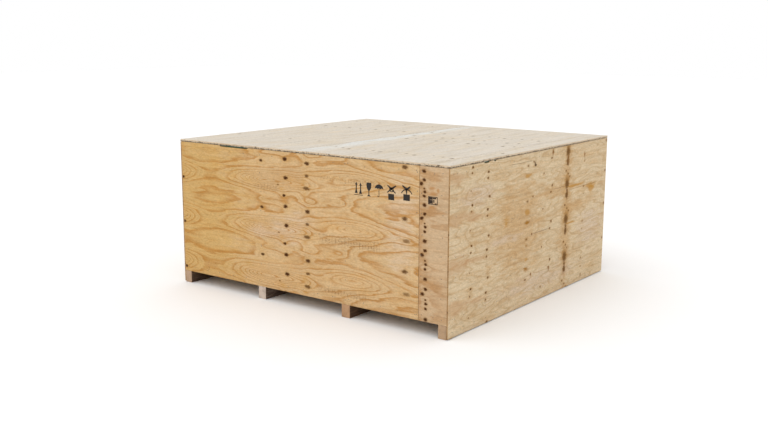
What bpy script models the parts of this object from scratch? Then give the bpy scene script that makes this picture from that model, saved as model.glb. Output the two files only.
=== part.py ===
"""Plywood shipping crate on four skids, with framed walls and a battened lid that lifts off.

Frame: metres, +Z up. The origin is on the ground, under the middle of the crate.
X runs along the front wall, and Y from the front wall (low Y) to the back wall (high Y).
"""

import math

import bmesh
import bpy
from mathutils import Vector

# Driving dimensions: the crate as a whole
WIDTH = 2.650            # outside, along the front wall
DEPTH = 2.500            # outside, front to back: one full sheet of plywood
HEIGHT = 1.210           # ground to the top of the lid
SHEET_WIDTH = 1.250      # a full sheet of plywood is this wide

# Driving dimensions: thicknesses and sections
WALL_PLY = 0.012
LID_PLY = 0.018
SKID_HEIGHT = 0.100
INNER_SKID_WIDTH = 0.080
OUTER_SKID_WIDTH = 0.070
INNER_SKID_OFFSET = 0.425    # from the crate's middle to an inner skid's middle
BATTEN_WIDTH = 0.090
WALL_BATTEN_DEPTH = 0.030    # how far a wall's frame stands into the crate
LID_BATTEN_DEPTH = 0.045
FLOOR_BOARD_WIDTH = 0.200
FLOOR_BOARD_THICKNESS = 0.022
FLOOR_BOARD_COUNT = 11
END_SHEET_LENGTH = 2.390     # the long sheet of the front and back walls; a strip fills the rest
SEAL_WIDTH = 0.020
SEAL_HEIGHT = 0.002

# Clearances
TOUCH = 0.0003               # between pieces that rest on each other
SHEET_JOINT = 0.002          # between two sheets in one wall or in the lid
GROUND_GAP = 0.006           # below the side sheets, which reach past the outer skids
LID_CLEARANCE = 0.008        # between the lid's battens and the wall frames

# Rounded edges
PLY_EDGE = 0.0008
TIMBER_EDGE = 0.0025

# Coach screws: through each end floor board into an outer skid
SCREW_SHANK_RADIUS = 0.006
SCREW_DEPTH = 0.085          # from the floor's top to the screw's tip
SCREW_TIP = 0.012            # length of the pointed tip
SCREW_FLANGE_RADIUS = 0.012
SCREW_FLANGE_HEIGHT = 0.002
SCREW_HEAD_ACROSS_FLATS = 0.018
SCREW_HEAD_HEIGHT = 0.008
SCREW_SIDES = 24
SCREW_HEAD_RADIUS = SCREW_HEAD_ACROSS_FLATS / math.sqrt(3)    # to the head's six corners
SCREW_FROM_SIDE = 0.062      # screw axis to the crate's left or right face
SCREW_FROM_END = 0.080       # screw axis to the crate's front or back face
HOLE_CUTTER_TOP = 0.010      # how far a hole's cutter stands above the floor

# Heights and inside faces that follow from the above
HALF_WIDTH = WIDTH / 2
HALF_DEPTH = DEPTH / 2
FLOOR_TOP = SKID_HEIGHT + FLOOR_BOARD_THICKNESS
LID_UNDERSIDE = HEIGHT - LID_PLY
WALL_TOP = LID_UNDERSIDE - SEAL_HEIGHT
INSIDE_X = HALF_WIDTH - WALL_PLY            # inner face of a side sheet
INSIDE_Y = HALF_DEPTH - WALL_PLY            # inner face of a front or back sheet
FRAME_X = INSIDE_X - WALL_BATTEN_DEPTH      # inner face of a side wall's frame
FRAME_Y = INSIDE_Y - WALL_BATTEN_DEPTH      # inner face of an end wall's frame

COLOURS = {
    "front_plywood": ((0.58, 0.36, 0.15), 0.62, 0.0),
    "side_plywood": ((0.60, 0.43, 0.26), 0.66, 0.0),
    "lid_plywood": ((0.76, 0.69, 0.56), 0.70, 0.0),
    "skid_timber": ((0.42, 0.29, 0.20), 0.80, 0.0),
    "frame_timber": ((0.62, 0.45, 0.25), 0.75, 0.0),
    "floor_timber": ((0.52, 0.38, 0.22), 0.78, 0.0),
    "green_foam": ((0.04, 0.12, 0.07), 0.85, 0.0),
    "zinc_steel": ((0.55, 0.55, 0.53), 0.38, 1.0),
}


def clear_scene():
    for old in list(bpy.data.objects):
        bpy.data.objects.remove(old, do_unlink=True)


def material(slot):
    """The slot's Principled material, made on first use."""
    found = bpy.data.materials.get(slot)
    if found:
        return found
    colour, roughness, metallic = COLOURS[slot]
    made = bpy.data.materials.new(slot)
    made.use_nodes = True
    shader = made.node_tree.nodes["Principled BSDF"]
    shader.inputs["Base Color"].default_value = (*colour, 1.0)
    shader.inputs["Roughness"].default_value = roughness
    shader.inputs["Metallic"].default_value = metallic
    return made


def add_object(name, mesh_builder, slot, place=(0.0, 0.0, 0.0), parent=None):
    """One named object whose mesh is what the finished bmesh holds, standing at its place."""
    mesh = bpy.data.meshes.new(name)
    mesh_builder.to_mesh(mesh)
    mesh_builder.free()
    mesh.materials.append(material(slot))
    obj = bpy.data.objects.new(name, mesh)
    bpy.context.scene.collection.objects.link(obj)
    if parent:
        obj.parent = parent
        obj.location = Vector(place) - parent.location
    else:
        obj.location = place
    return obj


def trimmed(low, high, outer):
    """A span less half a touching gap at each end, except where the end is on the crate's outside."""
    outer_low, outer_high = outer
    low_trim = 0.0 if math.isclose(low, outer_low, abs_tol=1e-9) else TOUCH / 2
    high_trim = 0.0 if math.isclose(high, outer_high, abs_tol=1e-9) else TOUCH / 2
    return low + low_trim, high - high_trim


def board(name, x_span, y_span, z_span, slot, edge=TIMBER_EDGE, parent=None):
    """A straight board, batten, skid or sheet that fills three spans, with slightly rounded edges."""
    spans = [
        trimmed(*x_span, (-HALF_WIDTH, HALF_WIDTH)),
        trimmed(*y_span, (-HALF_DEPTH, HALF_DEPTH)),
        trimmed(*z_span, (0.0, HEIGHT)),
    ]
    size = [high - low for low, high in spans]
    middle = [(high + low) / 2 for low, high in spans]
    builder = bmesh.new()
    bmesh.ops.create_cube(builder, size=1.0)
    bmesh.ops.scale(builder, vec=size, verts=builder.verts)
    obj = add_object(name, builder, slot, middle, parent)
    rounding = obj.modifiers.new("rounded edges", "BEVEL")
    rounding.width = edge
    rounding.segments = 1
    return obj


def around(centre, width):
    """The span of this width about a centre."""
    return centre - width / 2, centre + width / 2


def evenly(first, last, count):
    """Centres of count pieces, evenly spaced from first to last."""
    step = (last - first) / (count - 1)
    return [first + step * index for index in range(count)]


def build_skids():
    """Four skids, full depth, under the floor."""
    outer_centre = INSIDE_X - OUTER_SKID_WIDTH / 2
    places = [
        ("skid_left", -outer_centre, OUTER_SKID_WIDTH),
        ("skid_middle_left", -INNER_SKID_OFFSET, INNER_SKID_WIDTH),
        ("skid_middle_right", INNER_SKID_OFFSET, INNER_SKID_WIDTH),
        ("skid_right", outer_centre, OUTER_SKID_WIDTH),
    ]
    skids = []
    for name, centre, width in places:
        x_span = around(centre, width)
        skids.append(board(name, x_span, (-HALF_DEPTH, HALF_DEPTH), (0.0, SKID_HEIGHT), "skid_timber"))
    return skids[0], skids[-1]


def build_floor():
    """Boards laid across the skids, with even gaps, between the four walls' sheets."""
    first = -INSIDE_Y + FLOOR_BOARD_WIDTH / 2
    boards = []
    for number, centre in enumerate(evenly(first, -first, FLOOR_BOARD_COUNT), start=1):
        y_span = around(centre, FLOOR_BOARD_WIDTH)
        z_span = (SKID_HEIGHT, FLOOR_TOP)
        boards.append(board(f"floor_board_{number:02d}", (-INSIDE_X, INSIDE_X), y_span, z_span, "floor_timber"))
    return boards[0], boards[-1]


def build_end_wall(wall, side):
    """The front wall (side -1) or the back wall (side +1): sheet, strip, two rails and five studs.

    The back wall is the front wall turned half round, so its narrow strip is at low X.
    """
    def x_flipped(low, high):
        return (low, high) if side < 0 else (-high, -low)

    def y_from_face(near, far):
        return tuple(sorted((side * (HALF_DEPTH - near), side * (HALF_DEPTH - far))))

    skin = y_from_face(0.0, WALL_PLY)
    frame = y_from_face(WALL_PLY, WALL_PLY + WALL_BATTEN_DEPTH)
    joint = -INSIDE_X + END_SHEET_LENGTH
    skin_height = (SKID_HEIGHT, WALL_TOP)
    sheet_span = x_flipped(-INSIDE_X, joint - SHEET_JOINT / 2)
    strip_span = x_flipped(joint + SHEET_JOINT / 2, INSIDE_X)
    board(f"{wall}_sheet", sheet_span, skin, skin_height, "front_plywood", PLY_EDGE)
    board(f"{wall}_strip", strip_span, skin, skin_height, "front_plywood", PLY_EDGE)

    rails = {
        f"{wall}_bottom_rail": (FLOOR_TOP, FLOOR_TOP + BATTEN_WIDTH),
        f"{wall}_top_rail": (WALL_TOP - BATTEN_WIDTH, WALL_TOP),
    }
    for name, z_span in rails.items():
        board(name, (-INSIDE_X, INSIDE_X), frame, z_span, "frame_timber")

    end_stud = INSIDE_X - BATTEN_WIDTH / 2
    stud_height = (FLOOR_TOP + BATTEN_WIDTH, WALL_TOP - BATTEN_WIDTH)
    centres = [-end_stud, -INNER_SKID_OFFSET, INNER_SKID_OFFSET, joint, end_stud]
    for number, centre in enumerate(centres, start=1):
        x_span = x_flipped(*around(centre, BATTEN_WIDTH))
        board(f"{wall}_stud_{number}", x_span, frame, stud_height, "frame_timber")


def build_side_wall(wall, side):
    """The left wall (side -1) or the right wall (side +1): one full sheet, two rails and four studs."""
    def x_from_face(near, far):
        return tuple(sorted((side * (HALF_WIDTH - near), side * (HALF_WIDTH - far))))

    skin = x_from_face(0.0, WALL_PLY)
    frame = x_from_face(WALL_PLY, WALL_PLY + WALL_BATTEN_DEPTH)
    board(f"{wall}_sheet", skin, (-HALF_DEPTH, HALF_DEPTH), (GROUND_GAP, WALL_TOP), "side_plywood", PLY_EDGE)

    rails = {
        f"{wall}_bottom_rail": (FLOOR_TOP, FLOOR_TOP + BATTEN_WIDTH),
        f"{wall}_top_rail": (WALL_TOP - BATTEN_WIDTH, WALL_TOP),
    }
    for name, z_span in rails.items():
        board(name, frame, (-FRAME_Y, FRAME_Y), z_span, "frame_timber")

    end_stud = FRAME_Y - BATTEN_WIDTH / 2
    stud_height = (FLOOR_TOP + BATTEN_WIDTH, WALL_TOP - BATTEN_WIDTH)
    for number, centre in enumerate(evenly(-end_stud, end_stud, 4), start=1):
        board(f"{wall}_stud_{number}", frame, around(centre, BATTEN_WIDTH), stud_height, "frame_timber")


def build_lid():
    """Three sheets laid front to back, over five battens that drop inside the walls."""
    lift = bpy.data.objects.new("lid_lift", None)
    lift.location = (0.0, 0.0, LID_UNDERSIDE)
    bpy.context.scene.collection.objects.link(lift)

    first_joint = -HALF_WIDTH + SHEET_WIDTH
    second_joint = first_joint + SHEET_WIDTH
    sheets = {
        "lid_sheet_left": (-HALF_WIDTH, first_joint - SHEET_JOINT / 2),
        "lid_sheet_right": (first_joint + SHEET_JOINT / 2, second_joint - SHEET_JOINT / 2),
        "lid_strip": (second_joint + SHEET_JOINT / 2, HALF_WIDTH),
    }
    for name, x_span in sheets.items():
        depth = (-HALF_DEPTH, HALF_DEPTH)
        board(name, x_span, depth, (LID_UNDERSIDE, HEIGHT), "lid_plywood", PLY_EDGE, lift)

    left_batten = -FRAME_X + LID_CLEARANCE + BATTEN_WIDTH / 2
    centres = [
        left_batten,
        (left_batten + first_joint) / 2,
        first_joint,
        (first_joint + second_joint) / 2,
        second_joint,
    ]
    batten_length = (-FRAME_Y + LID_CLEARANCE, FRAME_Y - LID_CLEARANCE)
    batten_height = (LID_UNDERSIDE - LID_BATTEN_DEPTH, LID_UNDERSIDE)
    for number, centre in enumerate(centres, start=1):
        x_span = around(centre, BATTEN_WIDTH)
        board(f"lid_batten_{number}", x_span, batten_length, batten_height, "frame_timber", parent=lift)


def build_seal():
    """One flat strip of foam around the top of the walls' frames, as a ring with square corners."""
    middle = WALL_PLY + WALL_BATTEN_DEPTH / 2
    outer_inset = middle - SEAL_WIDTH / 2
    inner_inset = middle + SEAL_WIDTH / 2
    height = SEAL_HEIGHT - 2 * TOUCH

    builder = bmesh.new()
    rings = []
    for inset in (outer_inset, inner_inset):
        x, y = HALF_WIDTH - inset, HALF_DEPTH - inset
        corners = [(-x, -y), (x, -y), (x, y), (-x, y)]
        rings.append([builder.verts.new((*corner, 0.0)) for corner in corners])
    outer, inner = rings
    for near in range(4):
        far = (near + 1) % 4
        builder.faces.new((outer[near], outer[far], inner[far], inner[near]))
    flat = bmesh.ops.extrude_face_region(builder, geom=list(builder.faces))
    raised = [item for item in flat["geom"] if isinstance(item, bmesh.types.BMVert)]
    bmesh.ops.translate(builder, verts=raised, vec=(0.0, 0.0, height))
    bmesh.ops.recalc_face_normals(builder, faces=builder.faces)
    add_object("lid_seal", builder, "green_foam", (0.0, 0.0, WALL_TOP + TOUCH))


def turned(profile):
    """A solid turned about Z from a profile of (radius, height) points that starts and ends on the axis."""
    builder = bmesh.new()
    points = [builder.verts.new((radius, 0.0, height)) for radius, height in profile]
    edges = [builder.edges.new(pair) for pair in zip(points, points[1:])]
    bmesh.ops.spin(
        builder,
        geom=points + edges,
        cent=(0.0, 0.0, 0.0),
        axis=(0.0, 0.0, 1.0),
        angle=math.tau,
        steps=SCREW_SIDES,
        use_merge=True,
    )
    bmesh.ops.remove_doubles(builder, verts=builder.verts, dist=1e-5)
    bmesh.ops.recalc_face_normals(builder, faces=builder.faces)
    return builder


def hexagon_reach(angle):
    """How far the screw head's hexagon reaches from its axis in this direction."""
    from_flat_middle = (angle % (math.pi / 3)) - math.pi / 6
    return SCREW_HEAD_ACROSS_FLATS / 2 / math.cos(from_flat_middle)


def coach_screw(name, place):
    """A screw with a pointed shank, a round flange and a hexagonal head, as one turned body.

    Its origin is where its axis meets the floor's top. The turned head's rim is pulled in to the
    hexagon's sides.
    """
    tip = -SCREW_DEPTH
    seat = TOUCH / 2
    builder = turned([
        (0.0, tip),
        (SCREW_SHANK_RADIUS, tip + SCREW_TIP),
        (SCREW_SHANK_RADIUS, seat),
        (SCREW_FLANGE_RADIUS, seat),
        (SCREW_FLANGE_RADIUS, SCREW_FLANGE_HEIGHT),
        (SCREW_HEAD_RADIUS, SCREW_FLANGE_HEIGHT),
        (SCREW_HEAD_RADIUS, SCREW_HEAD_HEIGHT),
        (0.0, SCREW_HEAD_HEIGHT),
    ])
    for vert in builder.verts:
        if math.isclose(vert.co.xy.length, SCREW_HEAD_RADIUS, abs_tol=1e-5):
            angle = math.atan2(vert.co.y, vert.co.x)
            vert.co.x = hexagon_reach(angle) * math.cos(angle)
            vert.co.y = hexagon_reach(angle) * math.sin(angle)
    add_object(name, builder, "zinc_steel", place)


def screw_hole(name, place, targets):
    """A cutter that opens a screw's hole, with running room, in each board that the screw enters."""
    radius = (SCREW_SHANK_RADIUS + TOUCH) / math.cos(math.pi / SCREW_SIDES)
    tip = -SCREW_DEPTH - TOUCH
    builder = turned([
        (0.0, tip),
        (radius, tip + SCREW_TIP),
        (radius, HOLE_CUTTER_TOP),
        (0.0, HOLE_CUTTER_TOP),
    ])
    cutter = add_object(name, builder, "zinc_steel", place)
    cutter.hide_render = True
    cutter.display_type = "WIRE"
    for target in targets:
        cut = target.modifiers.new(name, "BOOLEAN")
        cut.operation = "DIFFERENCE"
        cut.object = cutter


def build_coach_screws(outer_skids, end_boards):
    """One screw at each corner of the floor, in its hole through the end board and into the skid."""
    x, y = HALF_WIDTH - SCREW_FROM_SIDE, HALF_DEPTH - SCREW_FROM_END
    for side_name, side, skid in zip(("left", "right"), (-1, 1), outer_skids):
        for end_name, end, end_board in zip(("front", "back"), (-1, 1), end_boards):
            place = (side * x, end * y, FLOOR_TOP)
            corner = f"{end_name}_{side_name}"
            coach_screw(f"coach_screw_{corner}", place)
            screw_hole(f"hole_{corner}", place, (skid, end_board))


def main():
    clear_scene()
    outer_skids = build_skids()
    end_boards = build_floor()
    build_end_wall("front", -1)
    build_end_wall("back", 1)
    build_side_wall("left", -1)
    build_side_wall("right", 1)
    build_seal()
    build_lid()
    build_coach_screws(outer_skids, end_boards)


main()
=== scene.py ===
"""A plywood shipping crate on four timber skids, with a lid that lifts off.

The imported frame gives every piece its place. This file gives the pieces their finish: peeled veneer with
its turns of the log, plywood edges, sawn timber, nails, ink marks and a strip of foam under the lid.
Lengths are in metres. X runs along the front, Y from front to back, and Z up.
"""

import inspect
import math

import bmesh
import bpy
import numpy as np
from mathutils import Matrix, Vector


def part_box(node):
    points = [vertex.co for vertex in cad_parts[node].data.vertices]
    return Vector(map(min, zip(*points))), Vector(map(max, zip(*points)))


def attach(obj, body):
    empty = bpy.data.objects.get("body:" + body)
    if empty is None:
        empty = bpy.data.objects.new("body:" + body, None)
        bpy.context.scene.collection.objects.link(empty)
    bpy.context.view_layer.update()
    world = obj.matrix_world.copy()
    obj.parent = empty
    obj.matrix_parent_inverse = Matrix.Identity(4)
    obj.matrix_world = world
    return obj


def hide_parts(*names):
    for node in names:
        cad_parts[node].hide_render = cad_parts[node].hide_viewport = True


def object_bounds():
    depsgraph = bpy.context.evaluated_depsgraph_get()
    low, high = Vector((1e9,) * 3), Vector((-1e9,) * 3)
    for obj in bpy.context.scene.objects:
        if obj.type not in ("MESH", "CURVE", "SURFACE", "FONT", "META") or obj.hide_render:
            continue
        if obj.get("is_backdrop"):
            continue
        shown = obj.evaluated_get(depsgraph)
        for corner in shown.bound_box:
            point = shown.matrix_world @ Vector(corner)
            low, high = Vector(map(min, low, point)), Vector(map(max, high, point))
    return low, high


bl_info = {
    "name": "Plywood Shipping Crate", "version": (1, 0, 0), "blender": (4, 5, 0),
    "location": "3D View > Sidebar > Crate",
    "description": "Finishes a plywood crate with a lift-off lid around its packed frame",
    "category": "Add Mesh",
}

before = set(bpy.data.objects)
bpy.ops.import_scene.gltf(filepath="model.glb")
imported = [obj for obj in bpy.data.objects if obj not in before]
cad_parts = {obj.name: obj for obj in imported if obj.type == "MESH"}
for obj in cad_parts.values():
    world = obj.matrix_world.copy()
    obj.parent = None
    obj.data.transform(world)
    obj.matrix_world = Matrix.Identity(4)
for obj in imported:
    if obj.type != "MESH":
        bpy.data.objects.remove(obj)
CAD_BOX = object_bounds()
LOW, HIGH = CAD_BOX
LEFT, RIGHT = LOW.x, HIGH.x
FRONT, BACK = LOW.y, HIGH.y
TOP = HIGH.z

# How far the visible faces stay inside the crate's outer faces, and how far a mark's ink does.
SKIN = 0.0004
MARK_SKIN = 0.0001

# How proud a nail's head stands.
NAIL_RISE = 0.0003

# Where the foam has slipped out from under the lid, as distances along the front and the right side.
FRONT_SLIPS = ((0.46, 0.775),)
RIGHT_SLIPS = ((0.435, 0.51), (0.57, 0.605))

# A wall's top edge is worn down there: how deep, over what length at each end, and how far down it shows.
DIP_DEPTH, DIP_SLOPE, DIP_REACH = 0.009, 0.01, 0.03


def paint(red, green, blue):
    """A colour given as on a paint chart, from 0 to 255, as the light values that a shader works in."""
    chart = np.array([red, green, blue]) / 255
    light = np.where(chart <= 0.04045, chart / 12.92, ((chart + 0.055) / 1.055) ** 2.4)
    return tuple(float(part) for part in light)


# ---------------------------------------------------------------- settings


def colour_setting(name, description, chart):
    """A colour that the panel shows."""
    return bpy.props.FloatVectorProperty(
        name=name, description=description, default=paint(*chart), subtype="COLOR", size=3, min=0, max=1,
    )


def length_setting(name, description, default, high):
    """A length that the panel shows."""
    return bpy.props.FloatProperty(
        name=name, description=description, default=default, min=0, max=high, subtype="DISTANCE",
        unit="LENGTH", precision=4,
    )


class CrateSizes(bpy.types.PropertyGroup):
    """Small sizes of the sheets, timbers and fasteners."""

    sheet_edge: length_setting("Sheet edge", "Radius of a plywood sheet's worn edges", 0.0012, 0.004)
    timber_edge: length_setting("Timber edge", "Radius of a timber's worn edges", 0.003, 0.008)
    ply_groove: length_setting("Ply groove", "How far every second ply stands back", 0.0005, 0.001)
    nail_head: length_setting("Nail head", "Width of a nail's head", 0.007, 0.02)
    nail_spacing: length_setting("Nail spacing", "Distance between nails in a row", 0.15, 0.5)


class CrateColours(bpy.types.PropertyGroup):
    """Colours of the woods, the ink, the foam and the steel."""

    front_pale: colour_setting(
        "Front early wood", "Pale part of the front sheets' grain", (202, 171, 128)
    )
    front_late: colour_setting("Front late wood", "Grain lines of the front sheets", (170, 116, 50))
    side_pale: colour_setting("Side early wood", "Pale part of the side sheets' grain", (207, 186, 153))
    side_late: colour_setting("Side late wood", "Grain lines of the side sheets", (174, 137, 89))
    lid_pale: colour_setting("Lid wood", "Pale wood of the lid", (209, 200, 187))
    lid_late: colour_setting("Lid late wood", "Grain lines of the lid", (192, 177, 153))
    knot: colour_setting("Knots", "Heart of the knots", (72, 40, 12))
    resin: colour_setting("Resin knots", "Knots of the right side sheet", (98, 62, 14))
    timber: colour_setting("Frame timber", "Sawn timber of the frame", (205, 176, 134))
    boards: colour_setting("Floor boards", "Sawn boards of the floor", (190, 160, 118))
    ink: colour_setting("Ink", "Stencil ink of the handling marks", (26, 28, 30))
    crayon: colour_setting("Crayon", "Marking crayon", (196, 96, 66))
    foam: colour_setting("Foam", "Foam strip under the lid", (44, 78, 60))
    steel: colour_setting("Steel", "Zinc plated nails and screws", (120, 116, 108))


class CrateStage(bpy.types.PropertyGroup):
    """The floor and the light."""

    floor: colour_setting("Floor", "Colour of the floor", (250, 250, 250))
    sky_light: bpy.props.FloatProperty(
        name="Room light", description="Strength of the even light from all round", default=1.0, min=0,
        max=4,
    )
    lamp: bpy.props.FloatProperty(
        name="Lamp", description="Strength of the soft lamp over the left shoulder", default=0.6, min=0,
        max=20,
    )


def sizes():
    """The small sizes, as the panel has them."""
    return bpy.context.scene.crate_sizes


def tone(name):
    """One of the panel's colours, with full cover."""
    return (*getattr(bpy.context.scene.crate_colours, name), 1.0)


def chart_tone(red, green, blue):
    """A colour from the paint chart, with full cover."""
    return (*paint(red, green, blue), 1.0)


# ---------------------------------------------------------------- surfaces


def lattice_noise(points, scale, seed):
    """Smooth noise from 0 to 1: a number for each corner of a cube lattice, blended by 3t² - 2t³."""
    place = points * np.asarray(scale) + seed * 17.31
    cell = np.floor(place)
    part = place - cell
    part = part * part * (3 - 2 * part)
    total = np.zeros(len(points))
    for corner in np.ndindex(2, 2, 2):
        number = np.sin((cell + corner) @ (127.1, 311.7, 74.7)) * 43758.5453
        number -= np.floor(number)
        total += number * np.prod(np.where(corner, part, 1 - part), axis=1)
    return total


def edge_lines(low, high, radius, step, turns=2):
    """Where the grid lines lie across a box: close together over its rounded edges, and even between.

    An edge line stands radius * (1 - tan(angle)) from the side, for even angles from 45 degrees to 0.
    """
    bend = radius * (1 - np.tan(np.radians(np.linspace(45, 0, turns + 1))))[:-1]
    count = max(1, round((high - low - 2 * radius) / step))
    middle = np.linspace(low + radius, high - radius, count + 1)
    return np.concatenate([low + bend, middle, high - bend[::-1]])


def ply_lines(low, high, radius, plies):
    """Grid lines through a sheet's thickness: a close pair at every glue line, for crisp grooves."""
    bend = radius * (1 - np.tan(np.radians([45, 22.5, 0])))
    glue = np.linspace(low, high, plies + 1)[1:-1]
    pairs = np.concatenate([glue - 0.0001, glue + 0.0001])
    pairs = pairs[(pairs > low + radius) & (pairs < high - radius)]
    return np.sort(np.concatenate([low + bend, pairs, high - bend]))


def numbered(across):
    """The numbers of a grid's points, as they come when the grid is laid out in a row."""
    return np.arange(across.size).reshape(across.shape)


def grid_faces(number, closed=False):
    """Four-cornered faces between neighbours in a grid of point numbers. closed joins its last column to
    its first."""
    beside = np.roll(number, -1, axis=1)
    corners = np.stack([number[:-1], beside[:-1], beside[1:], number[1:]], -1)
    return (corners if closed else corners[:, :-1]).reshape(-1, 4)


def box_skin(lines):
    """The points and four-cornered faces of a box's six sides, one point for each crossing of two grid lines.

    The sides share their points along the edges, and every face points outwards.
    """
    points, faces, count = [], [], 0
    for axis in range(3):
        first, second = (axis + 1) % 3, (axis + 2) % 3
        across, up = np.meshgrid(lines[first], lines[second], indexing="ij")
        quads = grid_faces(numbered(across).T)
        for end, order in ((0, -1), (-1, 1)):
            side = np.empty((across.size, 3))
            side[:, axis] = lines[axis][end]
            side[:, first] = across.ravel()
            side[:, second] = up.ravel()
            points.append(side)
            faces.append(quads[:, ::order] + count)
            count += across.size
    points, faces = np.concatenate(points), np.concatenate(faces)
    places = np.round(points, 6) + 0.0
    kept, shared = np.unique(places, axis=0, return_index=True, return_inverse=True)[1:]
    return points[kept], shared.ravel()[faces]


def round_edges(points, low, high, radius):
    """Carries a box's points to its rounded skin: the nearest point of the inner box, plus the radius
    along the line out from it. Gives the new points and the directions out."""
    inner = np.clip(points, low + radius, high - radius)
    out = points - inner
    out /= np.linalg.norm(out, axis=1, keepdims=True)
    return inner + radius * out, out


def put_mesh(name, points, faces, sharp=38):
    """An object with this mesh, smooth but for edges sharper than the angle given in degrees."""
    mesh = bpy.data.meshes.new(name)
    mesh.from_pydata(np.asarray(points).tolist(), [], [list(map(int, face)) for face in faces])
    mesh.shade_smooth()
    mesh.set_sharp_from_angle(angle=math.radians(sharp))
    piece = bpy.data.objects.new(name, mesh)
    bpy.context.scene.collection.objects.link(piece)
    return piece


def turn_outwards(piece):
    """Turns every face of a closed mesh outwards."""
    work = bmesh.new()
    work.from_mesh(piece.data)
    bmesh.ops.recalc_face_normals(work, faces=work.faces[:])
    work.to_mesh(piece.data)
    work.free()
    return piece


def finish_piece(piece, material, body, slot=None, replaced=()):
    """Gives a piece its material and its body, and hides the CAD nodes that it stands for; its slot is not
    used.
    """
    piece.data.materials.append(material)
    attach(piece, body)
    if replaced:
        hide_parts(*replaced)
    return piece


def node_box(node, axis=0, side=0):
    """A CAD node's lowest and highest corners. Its side on an axis, if one is given, moves in by SKIN."""
    low, high = (np.array(corner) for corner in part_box(node))
    if side < 0:
        low[axis] += SKIN
    if side > 0:
        high[axis] -= SKIN
    return low, high


def plywood_shape(name, low, high, thin, plies, seed, step=0.05, dips=()):
    """A plywood sheet. Its skin is a rounded box. From it, every second ply stands back by the groove,
    the sawn edges waver by smooth noise, and splinters are missing along the face plies' edges. In a dip,
    which is an axis and two places on it, the top edge is lower by DIP_DEPTH."""
    radius, groove = sizes().sheet_edge, sizes().ply_groove
    lines = [edge_lines(low[axis], high[axis], radius, step) for axis in range(3)]
    lines[thin] = ply_lines(low[thin], high[thin], radius, plies)
    for axis, start, end in dips:
        more = [start, start + DIP_SLOPE, end - DIP_SLOPE, end]
        lines[axis] = np.sort(np.concatenate([lines[axis], more]))
    if dips:
        lines[2] = np.sort(np.append(lines[2], high[2] - DIP_REACH))
    points, faces = box_skin(lines)
    points, out = round_edges(points, low, high, radius)
    for axis, start, end in dips:
        inside = np.minimum(points[:, axis] - start, end - points[:, axis]) / DIP_SLOPE
        near_top = (points[:, 2] - (high[2] - DIP_REACH)) / DIP_REACH
        points[:, 2] -= DIP_DEPTH * np.clip(inside, 0, 1) * np.clip(near_top, 0, 1)
    depth = (points[:, thin] - low[thin]) / (high[thin] - low[thin])
    ply = np.clip(np.floor(depth * plies), 0, plies - 1)
    on_edge = 1 - np.abs(out[:, thin])
    back = groove * (ply % 2) * on_edge + 0.0005 * on_edge * lattice_noise(points, 31, seed)
    splinter = np.clip(lattice_noise(points, 23, seed + 5) - 0.72, 0, 1) / 0.28
    back += 0.0018 * splinter * on_edge * (np.abs(out[:, thin]) > 0.2)
    back += 0.0002 * (1 - on_edge) * lattice_noise(points, 2.3, seed + 9)
    return put_mesh(name, points - out * back[:, None], faces)


def timber_shape(name, low, high, seed, step=0.035):
    """A sawn timber. Its skin is a rounded box whose faces waver by smooth noise, long along the timber,
    and whose edges are knocked back in places."""
    radius = min(sizes().timber_edge, 0.3 * float(np.min(high - low)))
    points, faces = box_skin([edge_lines(low[axis], high[axis], radius, step) for axis in range(3)])
    points, out = round_edges(points, low, high, radius)
    stretch = np.full(3, 40.0)
    stretch[np.argmax(high - low)] = 7.0
    back = 0.0008 * lattice_noise(points, stretch, seed)
    on_edge = np.sort(np.abs(out), axis=1)[:, 1]
    knock = np.clip(lattice_noise(points, stretch * 0.6, seed + 3) - 0.6, 0, 1) / 0.4
    back += 0.004 * on_edge * knock
    return put_mesh(name, points - out * back[:, None], faces)


def nail_shape(name, centres, out, seed):
    """Nail heads as one mesh. Each is a shallow dome: rings of points at shares of the head's radius, the
    first sunk under the surface, carried to every centre and turned to face out of the wood."""
    sides, radius = 10, sizes().nail_head / 2
    turn = np.arange(sides) * math.tau / sides
    rings = ((0.9, -0.002), (1.0, 0.0), (0.9, 0.7 * NAIL_RISE), (0.45, NAIL_RISE))
    head = np.concatenate([
        np.stack([share * radius * np.cos(turn), share * radius * np.sin(turn), 0 * turn + height], 1)
        for share, height in rings
    ])
    across, up = np.roll(np.abs(out), 1), np.roll(np.abs(out), 2)
    if np.dot(np.cross(across, up), out) < 0:
        across, up = up, across
    draw = np.random.default_rng(seed)
    centres = np.asarray(centres, float)
    centres = centres - np.outer(draw.uniform(0, 0.0001, len(centres)), out)
    slide = draw.normal(0, 0.004, (len(centres), 2))
    centres += slide[:, :1] * across + slide[:, 1:] * up
    turned = head @ np.stack([across, up, np.asarray(out, float)])
    points = (centres[:, None] + turned[None]).reshape(-1, 3)
    number = np.arange(len(head)).reshape(len(rings), sides)
    faces = [*grid_faces(number, closed=True), number[0, ::-1], number[-1]]
    every = [face + nail * len(head) for nail in range(len(centres)) for face in faces]
    return put_mesh(name, points, every, 60)


def band(path, width):
    """The outline of a flat band along a path: points half the width to either side, square to the way
    the path runs. width may be one number or one for each point."""
    path = np.asarray(path, float)
    way = np.gradient(path, axis=0)
    way /= np.linalg.norm(way, axis=1, keepdims=True)
    side = np.stack([-way[:, 1], way[:, 0]], 1) * np.reshape(width, (-1, 1)) / 2
    return np.concatenate([path + side, (path - side)[::-1]])


def strips(path, width):
    """A long stroke as short bands that follow each other, so that it may cross itself."""
    return [band(path[k : k + 2], width) for k in range(len(path) - 1)]


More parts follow.
